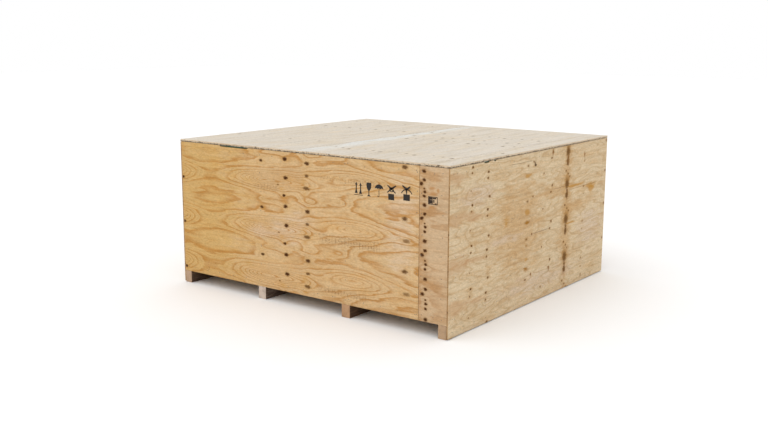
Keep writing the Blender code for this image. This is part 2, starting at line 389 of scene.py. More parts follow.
def mark_shape(name, outlines, place, thickness=0.0008):
    """Flat marks. Each outline is filled in front and behind, and joined round its rim. place gives a
    point's position in the crate from its place along and down the face, and its depth."""
    points, faces = [], []
    for outline in outlines:
        number = len(points) + np.arange(2 * len(outline)).reshape(2, -1)
        points += [place(along, down, depth) for depth in (0.0, thickness) for along, down in outline]
        faces += [number[0], number[1, ::-1], *grid_faces(number, closed=True)]
    return turn_outwards(put_mesh(name, points, faces))


def bulge_shape(name, start, end, out, seed):
    """A stretch of foam that has slipped out over a wall's top edge. Its section is a rounded box that
    swells and shrinks as sin(way along) ^ 0.3, wavers by smooth noise, and closes at both ends."""
    stations, corners = 60, 16
    half_deep, half_high = 0.0058, 0.0048
    share = np.linspace(0.0, 1.0, stations)
    turn = np.linspace(0, math.tau, corners, endpoint=False)
    depth, height = (np.sign(way) * np.abs(way) ** 0.5 for way in (np.cos(turn), np.sin(turn)))
    swell = np.clip(np.sin(math.pi * share), 0.001, 1) ** 0.3
    ragged = 0.75 + 0.25 * lattice_noise(np.outer(share * 40, (1, 0, 0)), 0.5, seed)
    centre = start + np.outer(share, end - start)
    grid = (
        centre[:, None]
        + (swell * half_deep)[:, None, None] * depth[None, :, None] * -out
        + (swell * ragged * half_high)[:, None, None] * height[None, :, None] * np.array([0, 0, 1.0])
    )
    grid[..., 2] += ((1 - ragged) * half_high * swell)[:, None]
    number = numbered(grid[..., 0])
    faces = [*grid_faces(number, closed=True), number[0, ::-1], number[-1]]
    return turn_outwards(put_mesh(name, grid.reshape(-1, 3), faces))


# ---------------------------------------------------------------- node helpers


class Term:
    """A value inside a shader. Arithmetic with it adds the node that does the sum."""

    def __init__(self, nodes, socket):
        self.nodes, self.socket = nodes, socket

    def __add__(self, other):
        return self.nodes.math("ADD", self, other)

    def __radd__(self, other):
        return self.nodes.math("ADD", other, self)

    def __sub__(self, other):
        return self.nodes.math("SUBTRACT", self, other)

    def __rsub__(self, other):
        return self.nodes.math("SUBTRACT", other, self)

    def __mul__(self, other):
        return self.nodes.math("MULTIPLY", self, other)

    def __rmul__(self, other):
        return self.nodes.math("MULTIPLY", other, self)

    def __truediv__(self, other):
        return self.nodes.math("DIVIDE", self, other)


class Nodes:
    """Adds shader nodes to one tree and joins them up. A value is a number, a colour or a Term."""

    def __init__(self, tree):
        self.tree = tree

    def join(self, value, socket):
        """Feeds a socket from a term, or sets it."""
        if isinstance(value, Term):
            self.tree.links.new(value.socket, socket)
        else:
            socket.default_value = value

    def add(self, kind, values=(), output=0, **settings):
        """Adds a node with its settings and values, and gives one of its outputs."""
        node = self.tree.nodes.new("ShaderNode" + kind)
        for name, setting in settings.items():
            setattr(node, name, setting)
        for socket, value in dict(values).items():
            self.join(value, node.inputs[socket])
        return Term(self, node.outputs[output])

    def math(self, operation, *values):
        """One step of arithmetic."""
        return self.add("Math", enumerate(values), operation=operation)

    def steps(self, value, low, high, start=0.0, end=1.0):
        """Goes smoothly from start to end while value goes from low to high."""
        names = ("Value", "From Min", "From Max", "To Min", "To Max")
        values = dict(zip(names, (value, low, high, start, end)))
        return self.add("MapRange", values, interpolation_type="SMOOTHSTEP")

    def bell(self, value, width):
        """exp(-(value / width)²)."""
        share = value / width
        return self.math("EXPONENT", share * share * -1.0)

    def join_up(self, x, y, z):
        """A vector from three values."""
        return self.add("CombineXYZ", {0: x, 1: y, 2: z})

    def parts(self, vector):
        """The three values of a vector."""
        node = self.tree.nodes.new("ShaderNodeSeparateXYZ")
        self.join(vector, node.inputs[0])
        return [Term(self, output) for output in node.outputs]

    def noise(self, vector, scale=1.0, detail=2.0, rough=0.5, turn=None, seed=0.0):
        """Smooth noise from 0 to 1. turn and seed carry it along a fourth axis."""
        values = {"Vector": vector, "Scale": scale, "Detail": detail, "Roughness": rough}
        if turn is None:
            return self.add("TexNoise", values)
        values["W"] = turn + seed
        return self.add("TexNoise", values, noise_dimensions="4D")

    def stretch(self, vector, *scales):
        """A vector stretched by its own share on each axis."""
        return self.add("VectorMath", {0: vector, 1: scales}, operation="MULTIPLY")

    def grain(self, vector, along, across, detail=2.0, rough=0.6, turn=None, seed=0.0):
        """Noise that is stretched one way: fine across the first axis and coarse along it."""
        return self.noise(self.stretch(vector, along, across, across), 1.0, detail, rough, turn, seed)

    def mix(self, share, first, second, blend="MIX"):
        """Mixes two colours."""
        values = {0: share, 6: first, 7: second}
        return self.add("Mix", values, output=2, data_type="RGBA", blend_type=blend)

    def shade(self, colour, level):
        """A colour made lighter or darker."""
        grey = self.add("CombineColor", {0: level, 1: level, 2: level})
        return self.mix(1.0, colour, grey, "MULTIPLY")

    def group(self, effect, **values):
        """Places a shared effect and gives its results by name."""
        node = self.tree.nodes.new("ShaderNodeGroup")
        node.node_tree = bpy.data.node_groups[effect]
        for name, value in values.items():
            self.join(value, node.inputs[socket_name(name)])
        return {output.name: Term(self, output) for output in node.outputs}


def socket_name(name):
    """The label of a group's socket for an argument's name: heart_side gives Heart Side."""
    return name.replace("_", " ").title()


EFFECTS = {}


def effect(name):
    """Keeps a function as the recipe of a shared effect: its arguments, with their defaults, become the
    node group's inputs, and the terms that it gives back become the outputs."""

    def keep(recipe):
        EFFECTS[name] = recipe
        return recipe

    return keep


def make_group(name, recipe):
    """Builds a shared effect's node group from its recipe."""
    tree = bpy.data.node_groups.new(name, "ShaderNodeTree")
    arguments = list(inspect.signature(recipe).parameters.values())[1:]
    for argument in arguments:
        size = np.size(argument.default)
        kind = {1: "NodeSocketFloat", 3: "NodeSocketVector", 4: "NodeSocketColor"}[size]
        socket = tree.interface.new_socket(socket_name(argument.name), in_out="INPUT", socket_type=kind)
        socket.default_value = argument.default
    nodes = Nodes(tree)
    given = tree.nodes.new("NodeGroupInput").outputs
    made = recipe(nodes, *(Term(nodes, given[socket_name(argument.name)]) for argument in arguments))
    for label, term in made.items():
        kind = {"VALUE": "NodeSocketFloat", "VECTOR": "NodeSocketVector", "RGBA": "NodeSocketColor"}
        tree.interface.new_socket(label, in_out="OUTPUT", socket_type=kind[term.socket.type])
    result = tree.nodes.new("NodeGroupOutput").inputs
    for label, term in made.items():
        nodes.join(term, result[label])


def new_material(name, roughness=0.7, specular=0.3, metallic=0.0):
    """A material with its Nodes and its Principled shader."""
    material = bpy.data.materials.new(name)
    material.use_nodes = True
    shader = material.node_tree.nodes["Principled BSDF"]
    shader.inputs["Roughness"].default_value = roughness
    shader.inputs["Specular IOR Level"].default_value = specular
    shader.inputs["Metallic"].default_value = metallic
    return material, Nodes(material.node_tree), shader


def dress(nodes, shader, colour, rough, height, depth):
    """Joins colour, roughness and a bump of the given depth to a shader."""
    bump = nodes.add("Bump", {"Height": height, "Distance": depth, "Strength": 1.0})
    for label, value in (("Base Color", colour), ("Roughness", rough), ("Normal", bump)):
        nodes.join(value, shader.inputs[label])


# ---------------------------------------------------------------- shared effects

ORIGIN = (0.0, 0.0, 0.0)
PALE, LATE, DIRT = (0.6, 0.42, 0.22, 1.0), (0.4, 0.22, 0.08, 1.0), (0.2, 0.15, 0.1, 1.0)


@effect("Turn of the log")
def turn_of_the_log(nodes, along=0.0, across=0.0, period=0.35, growth=0.014):
    """Veneer is peeled off a log like paper off a roll, so its pattern comes again at every turn.

    Each turn is longer than the last by Growth, so across = period * turn + growth * turn² / 2, and
    turn = (sqrt(period² + 2 * growth * across) - period) / growth.
    """
    square = period * period + 2.0 * growth * across
    round_now = nodes.math("SQRT", nodes.math("MAXIMUM", square, 0.0001))
    turn = (round_now - period) / growth
    angle, radius = turn * math.tau, round_now / math.tau
    side, up = nodes.math("COSINE", angle) * radius, nodes.math("SINE", angle) * radius
    return {"Turn": turn, "Angle": angle, "Radius": radius, "Around": nodes.join_up(along, side, up)}


@effect("Ring field")
def ring_field(
    nodes, around=ORIGIN, turn=0.0, seed=0.0, per_turn=0.45, sweep=9.0, length=2.0, girth=14.0,
    ripple=0.35,
):
    """How many year rings the knife has crossed at a place: a slow climb, broad swings and fine ripples."""
    slow = turn * 0.35
    x, y, z = nodes.parts(around)
    broad = nodes.join_up(x * length, y * girth, z * girth)
    swing = nodes.noise(broad, detail=1.2, rough=0.45, turn=slow, seed=seed)
    fine = nodes.grain(around, 7.0, 45.0, rough=0.55, turn=slow, seed=seed)
    return {"Rings": turn * per_turn + (swing - 0.5) * sweep + (fine - 0.5) * ripple + 20.0}


@effect("Swell")
def swell(
    nodes, rings=0.0, along=0.0, angle=0.0, centre=0.0, phase=0.0, height=1.0, length=0.3, spread=0.8,
):
    """A bulge of the log, which the knife cuts as rings one inside the other.

    With far² = ((along - centre) / length)² + (1 - cos(turned away)) / spread², it adds
    height * exp(-1.4 * sqrt(far² + 0.05)) rings, so they lie evenly apart.
    """
    off = (along - centre) / length
    turned = (1.0 - nodes.math("COSINE", angle - phase * math.tau)) / (spread * spread)
    fall = nodes.math("SQRT", off * off + turned + 0.05)
    return {"Rings": rings + nodes.math("EXPONENT", fall * -1.4) * height}


@effect("Knot")
def knot(
    nodes, rings=0.0, dark=0.0, halo=0.0, along=0.0, ragged=0.5, angle=0.0, radius=0.05, centre=0.0,
    phase=0.0, size=0.01, stretch=1.4, push=0.6, heart=1.0, drift=0.0, turn=0.0,
):
    """A branch of the log, which the knife meets once in each turn.

    Its distance is sqrt(((along - centre) / stretch)² + 2 * radius² * (1 - cos(turned away))) over its size.
    It adds to the dark heart and to the halo, and pushes the rings aside.
    """
    off = (along - drift * turn - centre) / stretch
    turned = 1.0 - nodes.math("COSINE", angle - phase * math.tau)
    far = nodes.math("SQRT", off * off + 2.0 * radius * radius * turned) / size
    core = nodes.steps(far + ragged * 1.3, 1.15, 2.1, 1.0, 0.0) * heart
    glow = nodes.bell(far + ragged * 2.4 - 0.6, 2.0)
    dark, halo = nodes.math("MAXIMUM", dark, core), nodes.math("MAXIMUM", halo, glow)
    return {"Rings": rings + nodes.bell(far, 3.2) * push, "Dark": dark, "Halo": halo}


@effect("Patch")
def patch(
    nodes, along=0.0, across=0.0, centre_along=0.0, centre_across=0.0, half_length=0.2, half_height=0.1,
    ragged=0.6, wander=0.0,
):
    """A soft-edged patch round a point, with a ragged outline."""
    off, down = (along - centre_along) / half_length, (across - centre_across) / half_height
    far = nodes.math("SQRT", off * off + down * down) + wander * ragged * 2.0
    return {"Mask": nodes.steps(far, 0.25, 1.1, 1.0, 0.0)}


@effect("Crack")
def crack(nodes, along=0.0, across=0.0, start=0.0, end=1.0, at=0.0, width=0.002, waver=0.0):
    """A thin dark split that runs with the grain, from start to end, fading over its last 10 cm."""
    line = nodes.bell(across - at - waver * 0.014, width)
    return {"Mask": line * nodes.steps(along - start, 0.0, 0.1) * nodes.steps(end - along, 0.0, 0.1)}


@effect("Chatter")
def chatter(
    nodes, along=0.0, across=0.0, start=0.0, end=1.0, at=0.0, height=0.012, pitch=0.0125, waver=0.0,
    gaps=0.5,
):
    """A row of short ticks across the grain, pressed in by the lathe's chatter."""
    row = nodes.bell(across - at + waver * 0.02, height)
    tick = nodes.steps(nodes.math("SINE", along * math.tau / pitch), -0.2, 0.9)
    row = row * tick * nodes.steps(gaps, 0.35, 0.6)
    return {"Mask": row * nodes.steps(along - start, 0.0, 0.1) * nodes.steps(end - along, 0.0, 0.1)}


@effect("Veneer face")
def veneer_face(
    nodes, rings=0.0, dark=0.0, halo=0.0, around=ORIGIN, turn=0.0, seed=0.0, pale=PALE, late=LATE,
    warm=LATE, knot=DIRT, line=0.8, fibre=0.12, fleck=0.3, blotch=0.35, grit=0.1,
):
    """The face of a veneer: late wood lines that end sharply, fibres, resin flecks, blotches and knots."""
    slow = turn * 0.4
    part, third = nodes.math("FRACT", rings), nodes.math("FRACT", rings * 3.0)
    bold = nodes.steps(part, 0.48, 0.84) * nodes.steps(part, 0.86, 1.0, 1.0, 0.0)
    faint = nodes.steps(third, 0.40, 0.80) * nodes.steps(third, 0.84, 1.0, 0.34, 0.0)
    lines = nodes.math("MAXIMUM", bold, faint)
    vary = nodes.steps(nodes.grain(around, 2.2, 22.0, turn=slow, seed=seed), 0.32, 0.62, 0.45, 1.0)
    blotches = nodes.grain(around, 3.5, 18.0, 3.0, turn=slow, seed=seed)
    streaks = nodes.grain(around, 5.0, 190.0, 4.0, 0.65, slow)
    fibres = nodes.grain(around, 26.0, 900.0, 3.0, 0.6, slow)
    flecks = nodes.grain(around, 30.0, 210.0, 1.0, 0.5, slow)
    threads = nodes.grain(around, 3.0, 62.0, 2.0, 0.6, slow)
    grains = nodes.grain(around, 55.0, 130.0, 2.0, 0.7, slow)
    colour = nodes.mix(nodes.steps(blotches, 0.42, 0.72) * blotch, pale, warm)
    colour = nodes.mix(lines * vary * line, colour, late)
    level = 1.0 + (streaks - 0.5) * fibre * 2.0 + (fibres - 0.5) * fibre
    level = level + (threads - 0.5) * fibre * 2.4 + (grains - 0.5) * grit * 2.0
    colour = nodes.shade(colour, level)
    colour = nodes.mix(nodes.steps(flecks, 0.64, 0.78) * fleck, colour, late)
    colour = nodes.mix(halo * 0.6, colour, warm)
    return {
        "Color": nodes.mix(dark, colour, knot),
        "Roughness": 0.62 + streaks * 0.16 - dark * 0.1,
        "Height": fibres * 0.35 + streaks * 0.5 + lines * 0.35 - dark * 0.9,
    }


@effect("Ply edge")
def ply_edge(
    nodes, place=ORIGIN, depth=0.0, thickness=0.012, plies=7.0, pale=PALE, brown=LATE, burn=0.4, foot=0.0,
):
    """The sawn edge of plywood: plies that show long grain and end grain by turns, glue lines, and burns."""
    share = depth / thickness
    count = share * plies
    cross = nodes.math("MODULO", nodes.math("FLOOR", count), 2.0)
    glue = nodes.steps(nodes.math("ABSOLUTE", nodes.math("FRACT", count) - 0.5), 0.4, 0.5)
    pores = nodes.noise(place, 700.0, 2.0, 0.6)
    burns = nodes.steps(nodes.noise(place, 14.0, 4.0, 0.7), 0.4, 0.62) * burn
    holes = nodes.steps(nodes.noise(place, 62.0), 0.6, 0.68) * 0.75
    hatch = nodes.noise(nodes.stretch(place, 75.0, 75.0, 20.0), 1.0, 2.0, 0.6)
    # Dark dashes on the lower half of the edge only: partly marks of the rough cut, and partly painted
    # highlight, since the upper half is left pale.
    frayed = nodes.steps(share, 0.45, 0.75) * foot * nodes.steps(hatch, 0.36, 0.60, 0.12, 1.0)
    dark = cross * 0.45 + glue * 0.3 + burns * 0.9 + nodes.steps(pores, 0.5, 0.7) * cross * 0.3
    colour = nodes.mix(nodes.math("MINIMUM", dark, 1.0), pale, brown)
    holes = nodes.math("MAXIMUM", holes, frayed)
    return {
        "Color": nodes.mix(holes, colour, chart_tone(58, 36, 18)),
        "Roughness": 0.78 + pores * 0.12,
        "Height": pores * 0.5 - glue * 0.3 - holes * 0.8,
        "Mask": nodes.steps(depth, 0.0009, 0.0015) * nodes.steps(thickness - depth, 0.0009, 0.0015),
    }


@effect("Sawn timber")
def sawn_timber(
    nodes, place=ORIGIN, seed=0.0, heart_side=0.05, heart_down=0.03, ring_gap=0.006, pale=PALE, late=LATE,
    dirt=DIRT, dirty=0.3,
):
    """Sawn softwood as a solid: rings round a heart line, so that faces show long grain and ends show arcs.

    Grain runs along the first axis of Place. The rings are the distance from the heart in the other two.
    """
    x, y, z = nodes.parts(place)
    wander = (nodes.grain(place, 1.1, 9.0, 2.0, 0.5, seed) - 0.5) * 0.05
    side, down = y + heart_side + wander, z + heart_down + wander * 0.6
    part = nodes.math("FRACT", nodes.math("SQRT", side * side + down * down) / ring_gap)
    lines = nodes.steps(part, 0.35, 0.9) * nodes.steps(part, 0.92, 1.0, 1.0, 0.0)
    streaks = nodes.grain(place, 6.0, 260.0, 3.0, 0.6, seed)
    broad = nodes.grain(place, 1.6, 9.0, 3.0, 0.6, seed)
    saw = nodes.math("SINE", (x + wander * 0.25) * 1500.0)
    fuzz = nodes.noise(place, 420.0, 3.0, 0.7, seed)
    grime = nodes.noise(place, 17.0, 4.0, 0.65, seed)
    colour = nodes.mix(lines * 0.5, pale, late)
    colour = nodes.mix(nodes.steps(broad, 0.4, 0.8) * 0.4, colour, late)
    colour = nodes.shade(colour, 1.0 + (streaks - 0.5) * 0.3 + (fuzz - 0.5) * 0.16)
    return {
        "Color": nodes.mix(nodes.steps(grime, 0.45, 0.75) * dirty, colour, dirt),
        "Roughness": 0.74 + streaks * 0.14,
        "Height": fuzz * 0.5 + saw * 0.10 + streaks * 0.5 + lines * 0.3,
    }


# ---------------------------------------------------------------- sheet materials

# Which way a sheet lies: the object axis and sign of its grain, of the way across it, and of its depth
# from the outer face, each with the place where it starts.
FRONT_LAY = ((0, 1, LEFT), (2, -1, TOP), (1, 1, FRONT))
BACK_LAY = ((0, -1, RIGHT), (2, -1, TOP), (1, -1, BACK))
RIGHT_LAY = ((1, 1, FRONT), (2, -1, TOP), (0, -1, RIGHT))
LEFT_LAY = ((1, -1, BACK), (2, -1, TOP), (0, 1, LEFT))


def lid_lay(start):
    """The lay of a lid sheet whose left edge is at start: its grain runs from front to back."""
    return ((1, 1, FRONT), (0, 1, start), (2, -1, TOP))


# Shades that several sheets share.
EDGE_PALE, EDGE_BROWN = chart_tone(196, 158, 110), chart_tone(110, 74, 44)
SMOKE = chart_tone(182, 140, 98)


class Veneer:
    """Builds one sheet's veneer: its log, swells and knots, then its face, patches, splits and ticks."""

    def __init__(self, name, lay, pale, period, growth, seed, thickness=0.012, plies=7.0, **ring):
        self.material, self.nodes, self.shader = new_material(name, specular=0.08)
        nodes = self.nodes
        self.place = nodes.add("TexCoord", output=3)
        parts = nodes.parts(self.place)
        self.along, self.across, self.depth = (
            nodes.math("MULTIPLY_ADD", parts[axis], float(sign), float(-sign * start))
            for axis, sign, start in lay
        )
        self.log = nodes.group(
            "Turn of the log", along=self.along, across=self.across, period=period, growth=growth
        )
        self.around = {"around": self.log["Around"], "turn": self.log["Turn"], "seed": seed}
        self.seed, self.thickness, self.plies, self.colour = seed, thickness, plies, pale
        self.rings = nodes.group("Ring field", **self.around, **ring)["Rings"]
        self.dark, self.halo = 0.0, 0.0
        slow = self.log["Turn"] * 0.8
        self.ragged = nodes.grain(self.log["Around"], 55.0, 100.0, 2.0, 0.6, slow, seed)
        self.wander = self.spread_noise(7.0, 26.0, 3.0)
        self.waver = self.spread_noise(9.0, 1.5, 3.0)
        self.gaps = self.spread_noise(45.0, 90.0, 2.0) + 0.5

    def spread_noise(self, along, across, detail):
        """Noise from -0.5 to 0.5 over the face, stretched by its own share each way."""
        place = self.nodes.join_up(self.along * along, self.across * across, self.seed)
        return self.nodes.noise(place, 1.0, detail, 0.6) - 0.5

    def swell(self, centre, phase, height, length, spread):
        """Adds a bulge of the log."""
        self.rings = self.nodes.group(
            "Swell", rings=self.rings, along=self.along, angle=self.log["Angle"], centre=centre,
            phase=phase, height=height, length=length, spread=spread,
        )["Rings"]

    def knot(self, centre, phase, size=0.008, stretch=1.4, push=0.5, heart=1.0, drift=0.0):
        """Adds a branch of the log. heart is how dark it is, and drift how far it moves in a turn."""
        made = self.nodes.group(
            "Knot", rings=self.rings, dark=self.dark, halo=self.halo, along=self.along,
            ragged=self.ragged, angle=self.log["Angle"], radius=self.log["Radius"],
            turn=self.log["Turn"], centre=centre, phase=phase, size=size, stretch=stretch, push=push,
            heart=heart, drift=drift,
        )
        self.rings, self.dark, self.halo = made["Rings"], made["Dark"], made["Halo"]

    def face(self, late, warm, knots="knot", **shares):
        """Finishes the face once the swells, knots and tints are in."""
        self.made = self.nodes.group(
            "Veneer face", rings=self.rings, dark=self.dark, halo=self.halo, pale=self.colour, late=late,
            warm=warm, knot=tone(knots), **self.around, **shares,
        )
        self.colour = self.made["Color"]

    def lay_over(self, effect, colour, strength, **values):
        """Lays a colour over the face where a shared effect's mask is."""
        mask = self.nodes.group(effect, along=self.along, across=self.across, **values)["Mask"]
        self.colour = self.nodes.mix(mask * strength, self.colour, colour)

    def patch(self, colour, *spots, strength=0.5, ragged=0.6):
        """Lays soft patches of one colour: under the grain before face(), and over it after.

        A spot is its centre along and across the grain, its half length and its half height.
        """
        for spot in spots:
            place = dict(zip(("centre_along", "centre_across", "half_length", "half_height"), spot))
            self.lay_over("Patch", colour, strength, ragged=ragged, wander=self.wander, **place)

    def crack(self, start, end, at, width=0.002, strength=0.8):
        """Lays a thin dark split over the face."""
        self.lay_over(
            "Crack", chart_tone(96, 62, 34), strength, start=start, end=end, at=at, width=width,
            waver=self.waver,
        )

    def chatter(self, start, end, at, height=0.012, pitch=0.0125, strength=0.35):
        """Lays a row of ticks across the grain."""
        self.lay_over(
            "Chatter", chart_tone(112, 76, 40), strength, start=start, end=end, at=at, height=height,
            pitch=pitch, waver=self.waver, gaps=self.gaps,
        )

    def done(self, edge_pale=EDGE_PALE, edge_brown=EDGE_BROWN, burn=0.3, foot=0.0):
        """Adds the ply edge and joins everything to the shader."""
        nodes = self.nodes
        edge = nodes.group(
            "Ply edge", place=self.place, depth=self.depth, thickness=self.thickness, plies=self.plies,
            pale=edge_pale, brown=edge_brown, burn=burn, foot=foot,
        )
        colour = nodes.mix(edge["Mask"], self.colour, edge["Color"])
        rough, height = (
            nodes.add("Mix", {0: edge["Mask"], 2: self.made[label], 3: edge[label]})
            for label in ("Roughness", "Height")
        )
        dress(nodes, self.shader, colour, rough, height, 0.0006)
        return self.material


def front_sheet_material():
    """The long front sheet: strong late wood lines, columns of knots, and pinkish heartwood in the middle."""
    veneer = Veneer(
        "Front sheet veneer", FRONT_LAY, tone("front_pale"), 0.3535, 0.0138, 3.0, sweep=1.6, length=2.6,
        girth=12.0, ripple=0.8,
    )
    for swell in (
        (1.83, 0.484, 9.0, 0.36, 0.90), (1.70, 0.990, 2.6, 0.13, 0.55), (1.42, 0.040, 3.4, 0.16, 0.60),
        (1.20, 0.700, 7.0, 0.60, 0.90), (0.93, 0.700, 9.0, 0.32, 0.75), (0.98, 0.100, 2.0, 0.20, 0.50),
        (-0.03, 0.710, 9.0, 0.24, 1.00), (2.50, 0.600, 3.0, 0.25, 0.90),
    ):
        veneer.swell(*swell)
    for centre, phase, size, stretch, heart in (
        (1.160, 0.210, 0.0145, 1.5, 1.0), (1.167, 0.608, 0.0150, 1.5, 1.0),
        (1.147, 0.983, 0.0110, 1.4, 1.0), (1.382, 0.254, 0.0150, 1.6, 0.95),
        (1.379, 0.515, 0.011, 1.8, 0.8), (1.374, 0.776, 0.013, 2.5, 0.8),
        (2.278, 0.115, 0.015, 1.6, 0.85), (2.294, 0.535, 0.014, 2.2, 0.6),
        (0.911, 0.292, 0.0115, 1.6, 0.95), (0.018, 0.870, 0.012, 1.6, 1.0),
        (1.086, 0.770, 0.0050, 2.2, 0.7), (1.348, 0.640, 0.013, 1.3, 0.0),
        (1.355, 0.905, 0.011, 1.4, 0.0), (1.120, 0.850, 0.010, 1.6, 0.0),
    ):
        veneer.knot(centre, phase, size, stretch, 0.5, heart, 0.002)
    veneer.patch(chart_tone(194, 157, 94), (0.15, 0.6, 0.85, 1.6), strength=0.75)
    veneer.patch(
        chart_tone(205, 181, 152), (1.16, 0.63, 0.22, 0.13), (0.90, 0.66, 0.16, 0.07),
        (1.34, 0.52, 0.13, 0.12), (2.25, 0.45, 0.18, 0.5), strength=0.7, ragged=1.0,
    )
    veneer.patch(
        chart_tone(186, 150, 106), (1.2, 0.2, 0.25, 0.1), (1.3, 0.85, 0.2, 0.1), (1.3, 1.14, 1.9, 0.07),
    )
    veneer.face(tone("front_late"), chart_tone(190, 142, 72), line=0.78, grit=0.36)
    for row in (
        (1.47, 2.10, 0.645, 0.026, 0.0140, 1.00), (1.42, 2.15, 0.608, 0.008, 0.0125, 0.70),
        (1.45, 2.00, 1.030, 0.020, 0.0140, 0.90), (1.45, 2.20, 0.180, 0.018, 0.0140, 0.60),
        (0.80, 1.14, 0.305, 0.034, 0.0160, 0.60), (0.78, 1.12, 0.700, 0.014, 0.0160, 0.50),
    ):
        veneer.chatter(*row)
    return veneer.done()


def front_strip_material():
    """The narrow front strip: pinkish, little grain and many small knots in a slanting column."""
    veneer = Veneer(
        "Front strip veneer", FRONT_LAY, chart_tone(194, 166, 132), 0.218, 0.0185, 8.0, sweep=2.0,
        length=3.0, girth=20.0,
    )
    for centre, phase, size, heart in (
        (2.435, 0.250, 0.0130, 1.0), (2.437, 0.505, 0.0115, 1.0), (2.412, 0.630, 0.0130, 1.0),
        (2.436, 0.770, 0.0065, 0.9), (2.440, 0.867, 0.0105, 1.0), (2.436, 0.990, 0.0100, 1.0),
        (2.350, 0.400, 0.0060, 0.0),
    ):
        veneer.knot(centre, phase, size, 1.25, 0.3, heart, 0.0065)
    veneer.patch(
        chart_tone(172, 128, 81), (2.39, 0.6, 0.06, 0.9), (2.50, 0.33, 0.1, 0.05),
        (2.52, 0.85, 0.14, 0.06), (2.50, 0.08, 0.12, 0.05), strength=0.6, ragged=1.2,
    )
    veneer.face(chart_tone(160, 116, 70), chart_tone(170, 126, 72), line=0.5, blotch=0.2, grit=0.34)
    veneer.patch(
        chart_tone(168, 112, 50), (2.515, 0.205, 0.055, 0.018), (2.500, 0.165, 0.035, 0.014),
        (2.555, 0.180, 0.014, 0.020), (2.510, 0.295, 0.050, 0.016), strength=0.6, ragged=1.1,
    )
    return veneer.done()


def right_sheet_material():
    """The right side sheet: soft grain, a column of tall resin knots, scattered knots and smoky ends."""
    veneer = Veneer(
        "Right sheet veneer", RIGHT_LAY, tone("side_pale"), 0.2487, 0.0236, 12.0, sweep=6.0, length=2.6,
        girth=13.0,
    )
    for swell in (
        (0.55, 0.55, 6.0, 0.28, 0.90), (2.15, 0.30, 5.0, 0.25, 0.90), (1.35, 0.80, 4.0, 0.22, 0.80),
    ):
        veneer.swell(*swell)
    for centre, phase, size, stretch, heart in (
        (1.749, 0.270, 0.040, 0.80, 0.85), (1.750, 0.455, 0.014, 1.2, 0.8),
        (1.748, 0.585, 0.030, 0.80, 0.9), (1.722, 0.865, 0.009, 1.4, 0.8),
        (1.761, 0.967, 0.008, 1.4, 0.8), (1.790, 0.050, 0.007, 1.6, 0.7), (2.060, 0.470, 0.008, 1.3, 0.6),
        (2.060, 0.690, 0.006, 1.3, 0.6), (1.083, 0.460, 0.008, 1.9, 0.7), (0.287, 0.165, 0.009, 1.4, 1.0),
        (0.279, 0.325, 0.007, 1.4, 0.9), (0.268, 0.790, 0.005, 1.4, 0.7),
        (0.498, 0.377, 0.009, 1.5, 0.95), (0.494, 0.540, 0.008, 1.4, 0.9),
        (0.519, 0.045, 0.009, 1.4, 0.9), (1.486, 0.190, 0.011, 1.0, 0.9), (1.466, 0.370, 0.008, 1.6, 0.8),
        (1.168, 0.365, 0.008, 1.2, 0.85), (1.339, 0.785, 0.008, 1.2, 0.8),
        (2.480, 0.150, 0.010, 1.2, 0.8),
    ):
        veneer.knot(centre, phase, size, stretch, 0.5, heart)
    veneer.patch(
        chart_tone(190, 152, 104), (0.95, 0.55, 0.5, 0.5), (1.749, 0.6, 0.12, 0.9),
        (1.62, 0.36, 0.5, 0.06), (1.95, 0.53, 0.35, 0.07), strength=0.6, ragged=1.3,
    )
    veneer.patch(
        chart_tone(203, 183, 161), (0.35, 0.25, 0.3, 0.1), (0.75, 0.63, 0.35, 0.04),
        (1.3, 1.05, 0.8, 0.1), (2.2, 0.75, 0.3, 0.2), strength=0.6, ragged=1.2,
    )
    veneer.patch(
        chart_tone(150, 106, 46), (1.749, 0.290, 0.055, 0.085), (1.749, 0.600, 0.060, 0.080),
        (1.745, 0.920, 0.060, 0.090), (1.749, 0.040, 0.040, 0.060), strength=0.65, ragged=1.1,
    )
    veneer.face(tone("side_late"), chart_tone(178, 134, 74), "resin", line=0.5, fleck=0.45, grit=0.4)
    veneer.patch(
        SMOKE, (0.04, 0.095, 0.22, 0.05), (0.08, 0.375, 0.27, 0.06), (0.05, 0.71, 0.22, 0.07),
        (0.06, 1.0, 0.26, 0.08), (0.30, 0.40, 0.18, 0.03), (0.34, 0.70, 0.16, 0.025),
        (0.36, 1.01, 0.18, 0.03), strength=0.5, ragged=1.2,
    )
    veneer.patch(
        chart_tone(178, 126, 40), (2.200, 0.388, 0.13, 0.036), (2.210, 0.425, 0.07, 0.036),
        (1.87, 0.362, 0.16, 0.014), (1.82, 0.665, 0.12, 0.012), (1.09, 0.195, 0.06, 0.018),
        (1.085, 0.472, 0.05, 0.024), (1.088, 0.846, 0.05, 0.020), (0.77, 0.510, 0.06, 0.050),
        strength=0.68, ragged=1.2,
    )
    veneer.patch(
        chart_tone(150, 100, 18), (1.092, 0.551, 0.048, 0.021), (1.087, 0.735, 0.040, 0.017),
        (1.085, 0.913, 0.054, 0.020), strength=0.9, ragged=1.0,
    )
    veneer.crack(1.15, 1.50, 0.655, 0.0022)
    veneer.crack(0.745, 1.20, 0.082, 0.0018, 0.7)
    veneer.crack(1.48, 1.80, 0.348, 0.0018, 0.7)
    veneer.crack(1.76, 2.35, 0.385, 0.0020, 0.6)
    veneer.patch(
        chart_tone(76, 54, 32), (1.198, 0.122, 0.022, 0.013), (1.186, 0.105, 0.010, 0.020), strength=0.95,
    )
    veneer.patch(
        chart_tone(137, 95, 50), (1.480, 0.045, 0.016, 0.045), (1.752, 0.135, 0.017, 0.050),
        (2.057, 0.125, 0.010, 0.050), (2.068, 1.156, 0.016, 0.022), (1.170, 0.975, 0.009, 0.026),
        (1.470, 0.985, 0.016, 0.030), strength=0.8,
    )
    return veneer.done()


